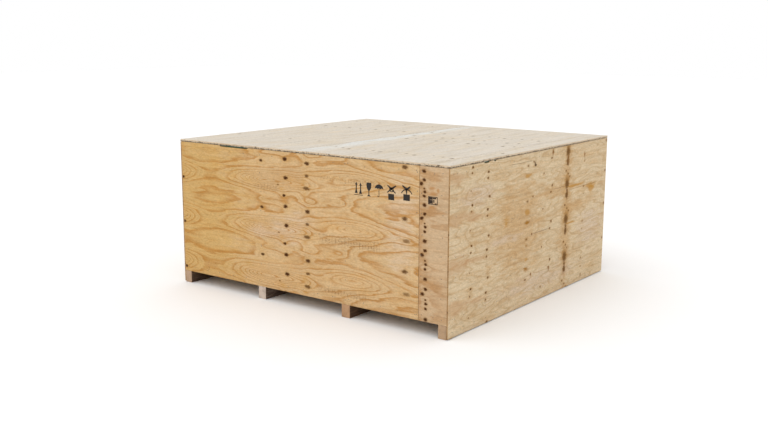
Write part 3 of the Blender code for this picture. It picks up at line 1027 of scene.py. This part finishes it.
def plain_sheet_material(name, lay, seed, pale, late):
    """A sheet on a side that is out of the way: the same kind of veneer with its own knots."""
    draw = np.random.default_rng(seed)
    period, growth = draw.uniform((0.30, 0.012), (0.38, 0.020)).tolist()
    veneer = Veneer(
        name, lay, pale, period, growth, float(seed), sweep=2.0, length=2.4, girth=12.0, ripple=0.8,
    )
    for centre in (0.1, 0.8, 1.5, 2.2):
        shift, phase, height, length, spread = draw.uniform(
            (-0.2, 0, 6.0, 0.25, 0.8), (0.2, 1, 9.0, 0.45, 1.0)
        ).tolist()
        veneer.swell(centre + shift, phase, height, length, spread)
    columns = draw.uniform(0.15, 2.4, 4).tolist()
    for column in (columns * 3)[:9]:
        off, phase, size, stretch, heart = draw.uniform(
            (-0.01, 0, 0.009, 1.3, 0.7), (0.01, 1, 0.017, 1.8, 1.0)
        ).tolist()
        veneer.knot(column + off, phase, size, stretch, 0.5, heart, 0.002)
    spots = draw.uniform((0.2, 0.2, 0.15, 0.08), (2.3, 1.0, 0.5, 0.3), (4, 4))
    veneer.patch(chart_tone(208, 180, 146), *spots.tolist(), strength=0.6, ragged=1.1)
    veneer.face(late, chart_tone(184, 138, 76), line=0.7, grit=0.34)
    return veneer.done()


def lid_sheet_material(name, start, seed, knots, sapwood, rows):
    """A lid sheet: cream, with very faint grain, rows of small flecks, and a bluish band of sapwood."""
    veneer = Veneer(
        name, lid_lay(start), tone("lid_pale"), 0.28, 0.012, seed, thickness=0.018, plies=9.0, sweep=4.0,
        length=1.2, girth=15.0,
    )
    for centre, phase, size in knots:
        veneer.knot(centre, phase, size, 1.8, 0.3, 0.8)
    if sapwood:
        veneer.patch(
            chart_tone(216, 217, 214), (0.5, 0.06, 0.9, sapwood), (1.7, 0.05, 1.2, sapwood * 0.8),
            strength=0.85, ragged=0.35,
        )
    veneer.face(tone("lid_late"), chart_tone(214, 196, 166), line=0.5, fleck=0.55, blotch=0.5, grit=0.34)
    for row in rows:
        veneer.chatter(0.05, 2.45, *row)
    # The lid's edge is very pale, with dark dashes on its lower half only; the pale upper half is partly a
    # painted highlight.
    return veneer.done(chart_tone(224, 208, 182), chart_tone(176, 146, 112), burn=0.25, foot=0.95)


# ---------------------------------------------------------------- operators


class CRATE_OT_shared_effects(bpy.types.Operator):
    """Build the node groups that the materials share."""

    bl_idname = "crate.shared_effects"
    bl_label = "Shared effects"

    def execute(self, context):
        for name, recipe in EFFECTS.items():
            make_group(name, recipe)
        return {"FINISHED"}


def wall_sheet(node, thin, side, slot, material, seed, dips=()):
    """Replaces a sheathing sheet by its plywood shape, a hair inside the crate's outer face."""
    low, high = node_box(node, thin, side)
    piece = plywood_shape("plywood_" + node, low, high, thin, 7, seed, dips=dips)
    return finish_piece(piece, material, "crate", slot, [node])


class CRATE_OT_front_sheets(bpy.types.Operator):
    """Build the front wall's sheet and strip."""

    bl_idname = "crate.front_sheets"
    bl_label = "Front sheets"

    def execute(self, context):
        wall_sheet(
            "front_sheet", 1, -1, "front_plywood", front_sheet_material(), 1,
            [(0, LEFT + start, LEFT + end) for start, end in FRONT_SLIPS],
        )
        wall_sheet("front_strip", 1, -1, "front_plywood", front_strip_material(), 2)
        return {"FINISHED"}


class CRATE_OT_side_sheets(bpy.types.Operator):
    """Build the left and right wall sheets."""

    bl_idname = "crate.side_sheets"
    bl_label = "Side sheets"

    def execute(self, context):
        wall_sheet(
            "right_sheet", 0, 1, "side_plywood", right_sheet_material(), 3,
            [(1, FRONT + start, FRONT + end) for start, end in RIGHT_SLIPS],
        )
        left = plain_sheet_material(
            "Left sheet veneer", LEFT_LAY, 21, tone("side_pale"), tone("side_late")
        )
        wall_sheet("left_sheet", 0, -1, "side_plywood", left, 4)
        return {"FINISHED"}


class CRATE_OT_back_sheets(bpy.types.Operator):
    """Build the back wall's sheet and strip."""

    bl_idname = "crate.back_sheets"
    bl_label = "Back sheets"

    def execute(self, context):
        for number, node in enumerate(("back_sheet", "back_strip")):
            material = plain_sheet_material(
                node.replace("_", " ").capitalize() + " veneer", BACK_LAY, 31 + number,
                tone("front_pale"), tone("front_late"),
            )
            wall_sheet(node, 1, 1, "front_plywood", material, 5 + number)
        return {"FINISHED"}


class CRATE_OT_lid_sheets(bpy.types.Operator):
    """Build the lid's three sheets."""

    bl_idname = "crate.lid_sheets"
    bl_label = "Lid sheets"

    def execute(self, context):
        columns = (
            (0.325, (0.95, 0.66, 0.35)), (1.198, (0.66, 0.92, 0.10)), (1.423, (0.38, 0.66)),
            (1.717, (0.78, 0.25, 0.50)),
        )
        middle_knots = [
            (along + 0.03 * number, phase, 0.012 - 0.003 * number)
            for along, phases in columns for number, phase in enumerate(phases)
        ]
        side_knots = [(0.60, 0.3, 0.010), (1.65, 0.6, 0.012), (1.62, 0.1, 0.010), (2.20, 0.4, 0.009)]
        draw = np.random.default_rng(9)
        spacing = 0.17
        for node, seed, knots, sapwood in (
            ("lid_sheet_left", 41.0, side_knots, 0.0), ("lid_sheet_right", 43.0, middle_knots, 0.16),
            ("lid_strip", 47.0, [(0.8, 0.3, 0.010)], 0.0),
        ):
            low, high = node_box(node, 2, 1)
            label = node.replace("_", " ").capitalize() + " veneer"
            width = float(high[0] - low[0])
            count = round(width / spacing)
            rows = draw.uniform((0, 0.003, 0.013, 0.1), (1, 0.010, 0.05, 0.5), (count, 4))
            rows[:, 0] = (np.arange(count) + rows[:, 0]) * spacing
            rows[0, 0], rows[-1, 0] = 0.006, width - 0.008
            rows[(0, -1), 3] = 0.4
            material = lid_sheet_material(label, float(low[0]), seed, knots, sapwood, rows.tolist())
            piece = plywood_shape("plywood_" + node, low, high, 2, 9, int(seed))
            finish_piece(piece, material, "lid", "lid_plywood", [node])
        return {"FINISHED"}


def timber_material(name, order, heart, pale, late, dirt, dirty, ring_gap=0.006, seed=1.0, sides=None):
    """Sawn timber whose grain runs along the first axis in order. heart is where its ring centre lies.

    sides, if given, is the timber's middle and half its width: its two long side faces are then darkened by a
    painted shade, mottled by noise.
    """
    material, nodes, shader = new_material(name, specular=0.22)
    place = nodes.add("TexCoord", output=3)
    parts = nodes.parts(place)
    made = nodes.group(
        "Sawn timber", place=nodes.join_up(*(parts[axis] for axis in order)), seed=seed,
        heart_side=heart[0], heart_down=heart[1], ring_gap=ring_gap, pale=pale, late=late, dirt=dirt,
        dirty=dirty,
    )
    colour = made["Color"]
    if sides:
        middle, half = sides
        # Painted shade: the two long side faces are darkened towards a shadow brown, in patches of noise, as
        # if they stood in the crate's shadow.
        off = nodes.math("ABSOLUTE", parts[0] - middle)
        mould = nodes.noise(nodes.stretch(place, 60.0, 9.0, 60.0), 1.0, 4.0, 0.7)
        share = nodes.steps(off, half - 0.003, half - 0.0008) * nodes.steps(mould, 0.2, 0.6, 0.65, 0.97)
        colour = nodes.mix(share, colour, chart_tone(74, 54, 40))
    dress(nodes, shader, colour, made["Roughness"], made["Height"], 0.0008)
    return material


def nodes_named(*parts):
    """The CAD nodes whose names hold one of these parts, in order of their names."""
    return [node for node in sorted(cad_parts) if any(part in node for part in parts)]


def timber_piece(node, material, body, slot, seed):
    """Replaces a timber by its sawn shape."""
    low, high = node_box(node)
    piece = timber_shape("timber_" + node, low, high, seed)
    return finish_piece(piece, material, body, slot, [node])


class CRATE_OT_skids(bpy.types.Operator):
    """Build the four skids."""

    bl_idname = "crate.skids"
    bl_label = "Skids"

    def execute(self, context):
        tones = {
            "skid_left": ((184, 156, 130), (140, 108, 82)),
            "skid_middle_left": ((206, 190, 176), (168, 146, 128)),
            "skid_middle_right": ((188, 150, 114), (142, 104, 72)),
            "skid_right": ((184, 154, 122), (140, 108, 78)),
        }
        for number, (node, (pale, late)) in enumerate(tones.items()):
            low, high = node_box(node)
            middle = (low[0] + high[0]) / 2
            # The last argument darkens the skid's two long side faces with a painted shade.
            material = timber_material(
                node.replace("_", " ").capitalize() + " timber", (1, 0, 2),
                (float(-middle + 0.03 * (-1) ** number), 0.02 + 0.02 * number), chart_tone(*pale),
                chart_tone(*late), chart_tone(96, 78, 62), 0.5, 0.007, float(number),
                (float(middle), float(high[0] - low[0]) / 2),
            )
            timber_piece(node, material, "crate", "skid_timber", 50 + number)
        return {"FINISHED"}


class CRATE_OT_wall_frames(bpy.types.Operator):
    """Build the rails and studs of the four wall frames and the lid's battens."""

    bl_idname = "crate.wall_frames"
    bl_label = "Wall frames and lid battens"

    def execute(self, context):
        pale, late = tone("timber"), chart_tone(176, 136, 86)
        dirt = chart_tone(140, 112, 80)
        runs = [
            timber_material("Timber along " + axis, order, heart, pale, late, dirt, 0.2, seed=seed)
            for axis, order, heart, seed in (
                ("X", (0, 1, 2), (0.2, 0.1), 5.0), ("Y", (1, 0, 2), (0.1, 0.3), 6.0),
                ("Z", (2, 0, 1), (0.3, 0.1), 7.0),
            )
        ]
        for number, node in enumerate(nodes_named("_stud_", "_rail", "lid_batten")):
            low, high = node_box(node)
            body = "lid" if node.startswith("lid") else "crate"
            timber_piece(node, runs[np.argmax(high - low)], body, "frame_timber", 70 + number)
        return {"FINISHED"}


class CRATE_OT_floor_boards(bpy.types.Operator):
    """Build the floor boards."""

    bl_idname = "crate.floor_boards"
    bl_label = "Floor boards"

    def execute(self, context):
        pale, late = tone("boards"), chart_tone(156, 118, 76)
        material = timber_material(
            "Floor board timber", (0, 1, 2), (0.05, 0.02), pale, late, chart_tone(120, 96, 70), 0.35,
            seed=9.0,
        )
        for node in nodes_named("floor_board"):
            timber_piece(node, material, "crate", "floor_timber", 90 + int(node[-2:]))
        return {"FINISHED"}


def speckled_material(name, colour, spot, spots, scale, roughness, metallic=0.0):
    """A plain finish with spots and a fine grain: foam or plated steel."""
    material, nodes, shader = new_material(name, roughness, 0.3, metallic)
    place = nodes.add("TexCoord", output=3)
    coarse = nodes.noise(place, scale, 3.0, 0.6)
    fine = nodes.noise(place, scale * 9, 2.0, 0.6)
    spotted = nodes.mix(nodes.steps(coarse, 0.45, 0.7) * spots, colour, spot)
    made = nodes.shade(spotted, 0.85 + fine * 0.3)
    dress(nodes, shader, made, roughness + coarse * 0.15, fine, 0.0003)
    return material


def assign(node_names, material):
    """Gives CAD nodes a material in place of their plain one."""
    for name in node_names:
        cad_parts[name].material_slots[0].material = material


class CRATE_OT_seal(bpy.types.Operator):
    """Build the foam strip between the wall tops and the lid, and the stretches that have slipped out."""

    bl_idname = "crate.seal"
    bl_label = "Seal"

    def execute(self, context):
        foam = speckled_material("Green foam", tone("foam"), chart_tone(24, 40, 34), 0.7, 60.0, 0.75)
        assign(["lid_seal"], foam)
        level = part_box("front_sheet")[1].z - 0.0034
        slips = [(start, end, (LEFT, FRONT + 0.0066), 0, (0.0, -1.0, 0.0)) for start, end in FRONT_SLIPS]
        slips += [(start, end, (RIGHT - 0.0066, FRONT), 1, (1.0, 0.0, 0.0)) for start, end in RIGHT_SLIPS]
        for number, (start, end, corner, axis, out) in enumerate(slips):
            ends = np.array([[*corner, level]] * 2)
            ends[:, axis] += start + 0.006, end - 0.006
            name = "foam_slip_" + str(number + 1)
            piece = bulge_shape(name, *ends, np.array(out), number + 2)
            finish_piece(piece, foam, "crate", "green_foam")
        return {"FINISHED"}


class CRATE_OT_fasteners(bpy.types.Operator):
    """Finish the coach screws and drive the nails."""

    bl_idname = "crate.fasteners"
    bl_label = "Screws and nails"

    def execute(self, context):
        steel = speckled_material(
            "Screw steel", tone("steel"), chart_tone(110, 84, 58), 0.5, 90.0, 0.45, 0.8
        )
        assign(nodes_named("coach_screw"), steel)
        nails = speckled_material(
            "Nail steel", tone("steel"), chart_tone(92, 70, 48), 0.8, 200.0, 0.5, 0.6
        )
        for name, body, out, centres in self.rows():
            piece = nail_shape("nails_" + name, centres, np.array(out), len(name))
            finish_piece(piece, nails, body, "zinc_steel")
        return {"FINISHED"}

    def rows(self):
        """Every wall's nails: its name, body, way out and the places of its nails."""
        edge = 0.04
        low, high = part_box("front_sheet")[0].z + edge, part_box("front_sheet")[1].z - edge
        gap = sizes().nail_spacing
        up = np.linspace(low, high, round((high - low) / gap) + 1)
        rails = np.linspace(-1.2, 1.2, round(2.4 / gap) + 1)
        for name, face, out, hand in (("front", FRONT + SKIN, -1, 1), ("back", BACK - SKIN, 1, -1)):
            studs = hand * np.array([-1.268, -0.425, 0.425, 1.058, 1.096, 1.268])
            places = [(x, face, z) for x in studs for z in up]
            places += [(x, face, z) for x in rails for z in (low, high)]
            yield name, "crate", (0, out, 0), places
        for name, face, out in (("left", LEFT + SKIN, -1), ("right", RIGHT - SKIN, 1)):
            places = [(face, y, z) for y in (-1.163, -0.388, 0.388, 1.163) for z in up]
            places += [(face, y, z) for y in rails for z in (0.05, low, high)]
            yield name, "crate", (out, 0, 0), places
        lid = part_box("lid_sheet_left")[1].z - SKIN
        battens = (-1.23, -0.6525, -0.095, -0.055, 0.55, 1.155, 1.195)
        deep = np.linspace(-1.18, 1.18, round(2.36 / gap) + 1)
        yield "lid", "lid", (0, 0, 1), [(x, y, lid) for x in battens for y in deep]
        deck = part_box("floor_board_01")[1].z - 0.0006
        starts = [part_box(node)[0].y for node in nodes_named("floor_board")]
        pitch = [start + side for start in starts for side in (0.04, 0.16)]
        inner_skids, outer_skids = (-0.425, 0.425), (-1.288, 1.288)
        places = [(x, y, deck) for x in inner_skids for y in pitch]
        places += [(x, y, deck) for x in outer_skids for y in pitch[2:-2]]
        yield "floor", "crate", (0, 0, 1), places


def arrow_up(along, top, bottom):
    """An upright arrow with a flared foot."""
    return np.array(
        [
            (along, top), (along + 0.012, top + 0.024), (along + 0.005, top + 0.022),
            (along + 0.0045, bottom - 0.030), (along + 0.013, bottom), (along - 0.013, bottom),
            (along - 0.0045, bottom - 0.030), (along - 0.005, top + 0.022), (along - 0.012, top + 0.024),
        ]
    )


def goblet(along, top):
    """A wine glass: half its width at each height, on both sides of its stem."""
    down = np.linspace(0, 0.098, 40)
    heights = (0, 0.012, 0.036, 0.050, 0.060, 0.086, 0.092, 0.098)
    halves = (0.020, 0.022, 0.020, 0.012, 0.0035, 0.0035, 0.010, 0.018)
    half = np.interp(down, heights, halves)
    right = np.stack([along + half, top + down], 1)
    left = np.stack([along - half, top + down], 1)
    return np.concatenate([right, left[::-1]])


def umbrella(along, top):
    """An open umbrella: half an ellipse over three scallops, and a stick with a hook."""
    turn = np.linspace(math.pi, 0, 25)
    dome = np.stack([0.037 * np.cos(turn), 0.034 * (1 - np.sin(turn))], 1)
    wave = np.linspace(1, -1, 25)[1:-1]
    rim = 0.034 - 0.006 * np.abs(np.sin(1.5 * math.pi * (wave + 1)))
    scallops = np.stack([0.037 * wave, rim], 1)
    hook = np.linspace(0, math.pi, 9)
    stick = [(0, 0.026), (0, 0.080)]
    stick += np.stack([-0.006 + 0.006 * np.cos(hook), 0.082 + 0.006 * np.sin(hook)], 1).tolist()
    return [np.concatenate([dome, scallops]) + (along, top), band(np.array(stick) + (along, top), 0.0045)]


def box_outline(left, top, right, bottom, lean=0.0):
    """A four-sided block. lean moves its bottom sideways."""
    return np.array([(left, top), (right, top), (right + lean, bottom), (left + lean, bottom)])


class CRATE_OT_handling_marks(bpy.types.Operator):
    """Stencil plain handling marks on the front, and a stamp, and scribble with crayon."""

    bl_idname = "crate.handling_marks"
    bl_label = "Handling marks"

    def execute(self, context):
        ink = worn_material("Stencil ink", tone("ink"), 0.38, (70.0, 400.0))
        stamp_ink = worn_material("Stamp ink", chart_tone(40, 26, 14), 0.42, (90, 160))
        crayon = worn_material("Crayon wax", tone("crayon"), 0.66, (110.0, 160.0))
        for name, outlines, place, material in (
            ("mark_this_way_up", self.this_way_up(), on_front, ink),
            ("mark_fragile", [goblet(1.966, 0.178)], on_front, ink),
            ("mark_keep_dry", umbrella(2.056, 0.182), on_front, ink),
            ("mark_no_hooks", self.no_hooks(), on_front, ink),
            ("mark_sling_here", self.sling_here(), on_front, ink),
            ("stamp", self.stamp(), on_front, stamp_ink),
            ("crayon_front", self.front_scribble(), on_front, crayon),
            ("crayon_right", self.side_scribble(), on_right, crayon),
        ):
            finish_piece(mark_shape(name, outlines, place), material, "crate")
        return {"FINISHED"}

    def this_way_up(self):
        """Two arrows over a bar."""
        bar = box_outline(1.833, 0.273, 1.911, 0.277)
        return [arrow_up(1.852, 0.180, 0.264), arrow_up(1.891, 0.184, 0.266), bar]

    def no_hooks(self):
        """Two crossed bars and a ring over a block."""
        turn = np.linspace(0, math.tau, 25)[:-1]
        ring = np.stack([2.166 + 0.018 * np.cos(turn), 0.209 + 0.014 * np.sin(turn)], 1)
        return [
            band([(2.129, 0.180), (2.150, 0.194), (2.201, 0.231)], (0.007, 0.012, 0.007)),
            band([(2.204, 0.178), (2.176, 0.196), (2.128, 0.231)], (0.008, 0.014, 0.007)),
            *strips(ring, 0.006), box_outline(2.136, 0.239, 2.187, 0.282, 0.002),
        ]

    def sling_here(self):
        """Two slings under a hook, over a block."""
        turn = np.linspace(0.1 * math.pi, 0.9 * math.pi, 15)
        arch = np.stack([2.295 - 0.046 * np.cos(turn), 0.236 - 0.040 * np.sin(turn)], 1)
        return [
            band(arch, 0.007),
            band([(2.258, 0.170), (2.290, 0.190), (2.296, 0.228)], (0.009, 0.018, 0.006)),
            band([(2.326, 0.172), (2.306, 0.186), (2.294, 0.200)], (0.008, 0.014, 0.008)),
            box_outline(2.267, 0.229, 2.322, 0.273),
        ]

    def stamp(self):
        """A ruled box with a solid half and a few short bars."""
        left, top, right, bottom = 2.474, 0.222, 2.552, 0.277
        rim = 0.0045
        return [
            box_outline(left, top, right, top + rim), box_outline(left, bottom - rim, right, bottom),
            box_outline(right - rim, top + rim, right, bottom - rim),
            box_outline(left, top + rim, left + 0.014, bottom - rim),
            box_outline(left + 0.014, 0.2270, left + 0.036, 0.2440),
            box_outline(left + 0.014, 0.2460, left + 0.038, 0.2700),
            box_outline(left + 0.038, 0.2280, left + 0.066, 0.2380),
            box_outline(left + 0.042, 0.2420, left + 0.051, 0.2620),
            box_outline(left + 0.054, 0.2660, left + 0.070, 0.2715),
        ]

    def front_scribble(self):
        """Two looped strokes."""
        turn = np.linspace(0.1, 0.9, 26) * math.tau
        first = np.stack([0.287 + 0.014 * np.sin(2 * turn), 1.02 - 0.046 * np.cos(turn)], 1)
        sway = np.linspace(0, 1, 20)
        second = np.stack([0.372 + 0.014 * np.cos(4.4 * sway), 0.975 + 0.085 * sway], 1)
        return [*strips(first, 0.007), *strips(second, 0.007)]

    def side_scribble(self):
        """A slanting zigzag."""
        share = np.linspace(0, 1, 22)
        wave = 0.016 * np.sin(share * 3.2 * math.pi)
        path = np.stack([0.055 + 0.14 * share, 0.612 + 0.034 * share + wave], 1)
        return strips(path, 0.006)


def on_front(along, down, depth):
    """A point on the front face."""
    return (LEFT + along, FRONT + MARK_SKIN + depth, TOP - down)


def on_right(along, down, depth):
    """A point on the right face."""
    return (RIGHT - MARK_SKIN - depth, FRONT + along, TOP - down)


def worn_material(name, colour, worn, grain):
    """Ink or wax that is missing where the grain stands proud. worn is how much of it is gone."""
    material, nodes, shader = new_material(name, 0.7, 0.25)
    place = nodes.add("TexCoord", output=3)
    fine, coarse = grain
    gaps = nodes.noise(nodes.stretch(place, fine, fine, coarse), 1.0, 3.0, 0.6)
    broad = nodes.noise(place, 26.0, 3.0, 0.6)
    cover = nodes.steps(gaps * 0.6 + broad * 0.4, worn - 0.16, worn + 0.04)
    shade = nodes.mix(broad * 0.5, colour, chart_tone(70, 58, 48))
    for label, value in (("Base Color", shade), ("Alpha", cover), ("Roughness", 0.6 + gaps * 0.25)):
        nodes.join(value, shader.inputs[label])
    return material


class CRATE_OT_stage(bpy.types.Operator):
    """Build the floor, the lights and the camera."""

    bl_idname = "crate.stage"
    bl_label = "Stage"

    def execute(self, context):
        scene = bpy.context.scene
        stage = scene.crate_stage
        scene.view_settings.view_transform = "Standard"
        span = 40.0
        grid = np.linspace(-span, span, 9)
        across, deep = np.meshgrid(grid, grid, indexing="ij")
        points = np.stack([across.ravel(), deep.ravel(), np.full(across.size, -0.0005)], 1)
        floor = put_mesh("stage_floor", points, grid_faces(numbered(across).T))
        material, nodes, shader = new_material("Stage floor", 0.9, 0.1)
        shader.inputs["Base Color"].default_value = (*stage.floor, 1.0)
        floor.data.materials.append(material)
        floor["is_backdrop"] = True
        world = bpy.data.worlds.new("Studio")
        world.use_nodes = True
        sky = world.node_tree.nodes["Background"].inputs
        sky["Color"].default_value = (1.0, 1.0, 1.0, 1.0)
        sky["Strength"].default_value = stage.sky_light
        scene.world = world
        lamp = bpy.data.lights.new("Soft lamp", "SUN")
        lamp.energy = stage.lamp
        lamp.angle = math.radians(60)
        holder = bpy.data.objects.new("Soft lamp", lamp)
        holder.rotation_euler = (math.radians(38), 0, math.radians(-20))
        scene.collection.objects.link(holder)
        self.add_camera(scene)
        return {"FINISHED"}

    def add_camera(self, scene):
        """A camera at standing height, off the front right corner."""
        camera = bpy.data.cameras.new("Camera")
        camera.sensor_width = 36
        camera.lens = 44.972
        holder = bpy.data.objects.new("Camera", camera)
        eye = (4.7487, -6.5628, 2.0652)
        turn, tip, roll = -0.642055, -0.187351, 0.00404726
        ahead = np.array([math.sin(turn) * math.cos(tip), math.cos(turn) * math.cos(tip), math.sin(tip)])
        level = np.array([math.cos(turn), -math.sin(turn), 0.0])
        above = np.cross(level, ahead)
        side = math.cos(roll) * level + math.sin(roll) * above
        up = -math.sin(roll) * level + math.cos(roll) * above
        matrix = np.eye(4)
        matrix[:3] = np.stack([side, up, -ahead, eye], 1)
        holder.matrix_world = Matrix(matrix.tolist())
        scene.collection.objects.link(holder)
        scene.camera = holder


class CRATE_PT_panel(bpy.types.Panel):
    """Lists the crate's builders and settings."""

    bl_label = "Shipping crate"
    bl_idname = "CRATE_PT_panel"
    bl_space_type = "VIEW_3D"
    bl_region_type = "UI"
    bl_category = "Crate"

    def draw(self, context):
        layout = self.layout
        for operator in OPERATORS:
            layout.operator(operator.bl_idname)
        for settings in ("crate_sizes", "crate_colours", "crate_stage"):
            group = getattr(context.scene, settings)
            for name in group.bl_rna.properties.keys():
                if name not in ("rna_type", "name"):
                    layout.prop(group, name)


SETTINGS = {"crate_sizes": CrateSizes, "crate_colours": CrateColours, "crate_stage": CrateStage}
OPERATORS = (
    CRATE_OT_shared_effects, CRATE_OT_front_sheets, CRATE_OT_side_sheets, CRATE_OT_back_sheets,
    CRATE_OT_lid_sheets, CRATE_OT_skids, CRATE_OT_wall_frames, CRATE_OT_floor_boards, CRATE_OT_seal,
    CRATE_OT_fasteners, CRATE_OT_handling_marks, CRATE_OT_stage,
)


def register():
    """Registers the settings, the operators and the panel."""
    for name, group in SETTINGS.items():
        bpy.utils.register_class(group)
        setattr(bpy.types.Scene, name, bpy.props.PointerProperty(type=group))
    for operator in OPERATORS:
        bpy.utils.register_class(operator)
    bpy.utils.register_class(CRATE_PT_panel)


def unregister():
    """Takes back what register did."""
    bpy.utils.unregister_class(CRATE_PT_panel)
    for operator in reversed(OPERATORS):
        bpy.utils.unregister_class(operator)
    for name, group in SETTINGS.items():
        delattr(bpy.types.Scene, name)
        bpy.utils.unregister_class(group)


def main():
    """Builds the crate and its stage, and gathers its size beside the CAD model's."""
    register()
    for operator in OPERATORS:
        area, name = operator.bl_idname.split(".")
        getattr(getattr(bpy.ops, area), name)()
    shown = {
        "cad": [list(corner) for corner in CAD_BOX],
        "visual": [list(corner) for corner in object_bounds()],
    }


if __name__ == "__main__":
    main()
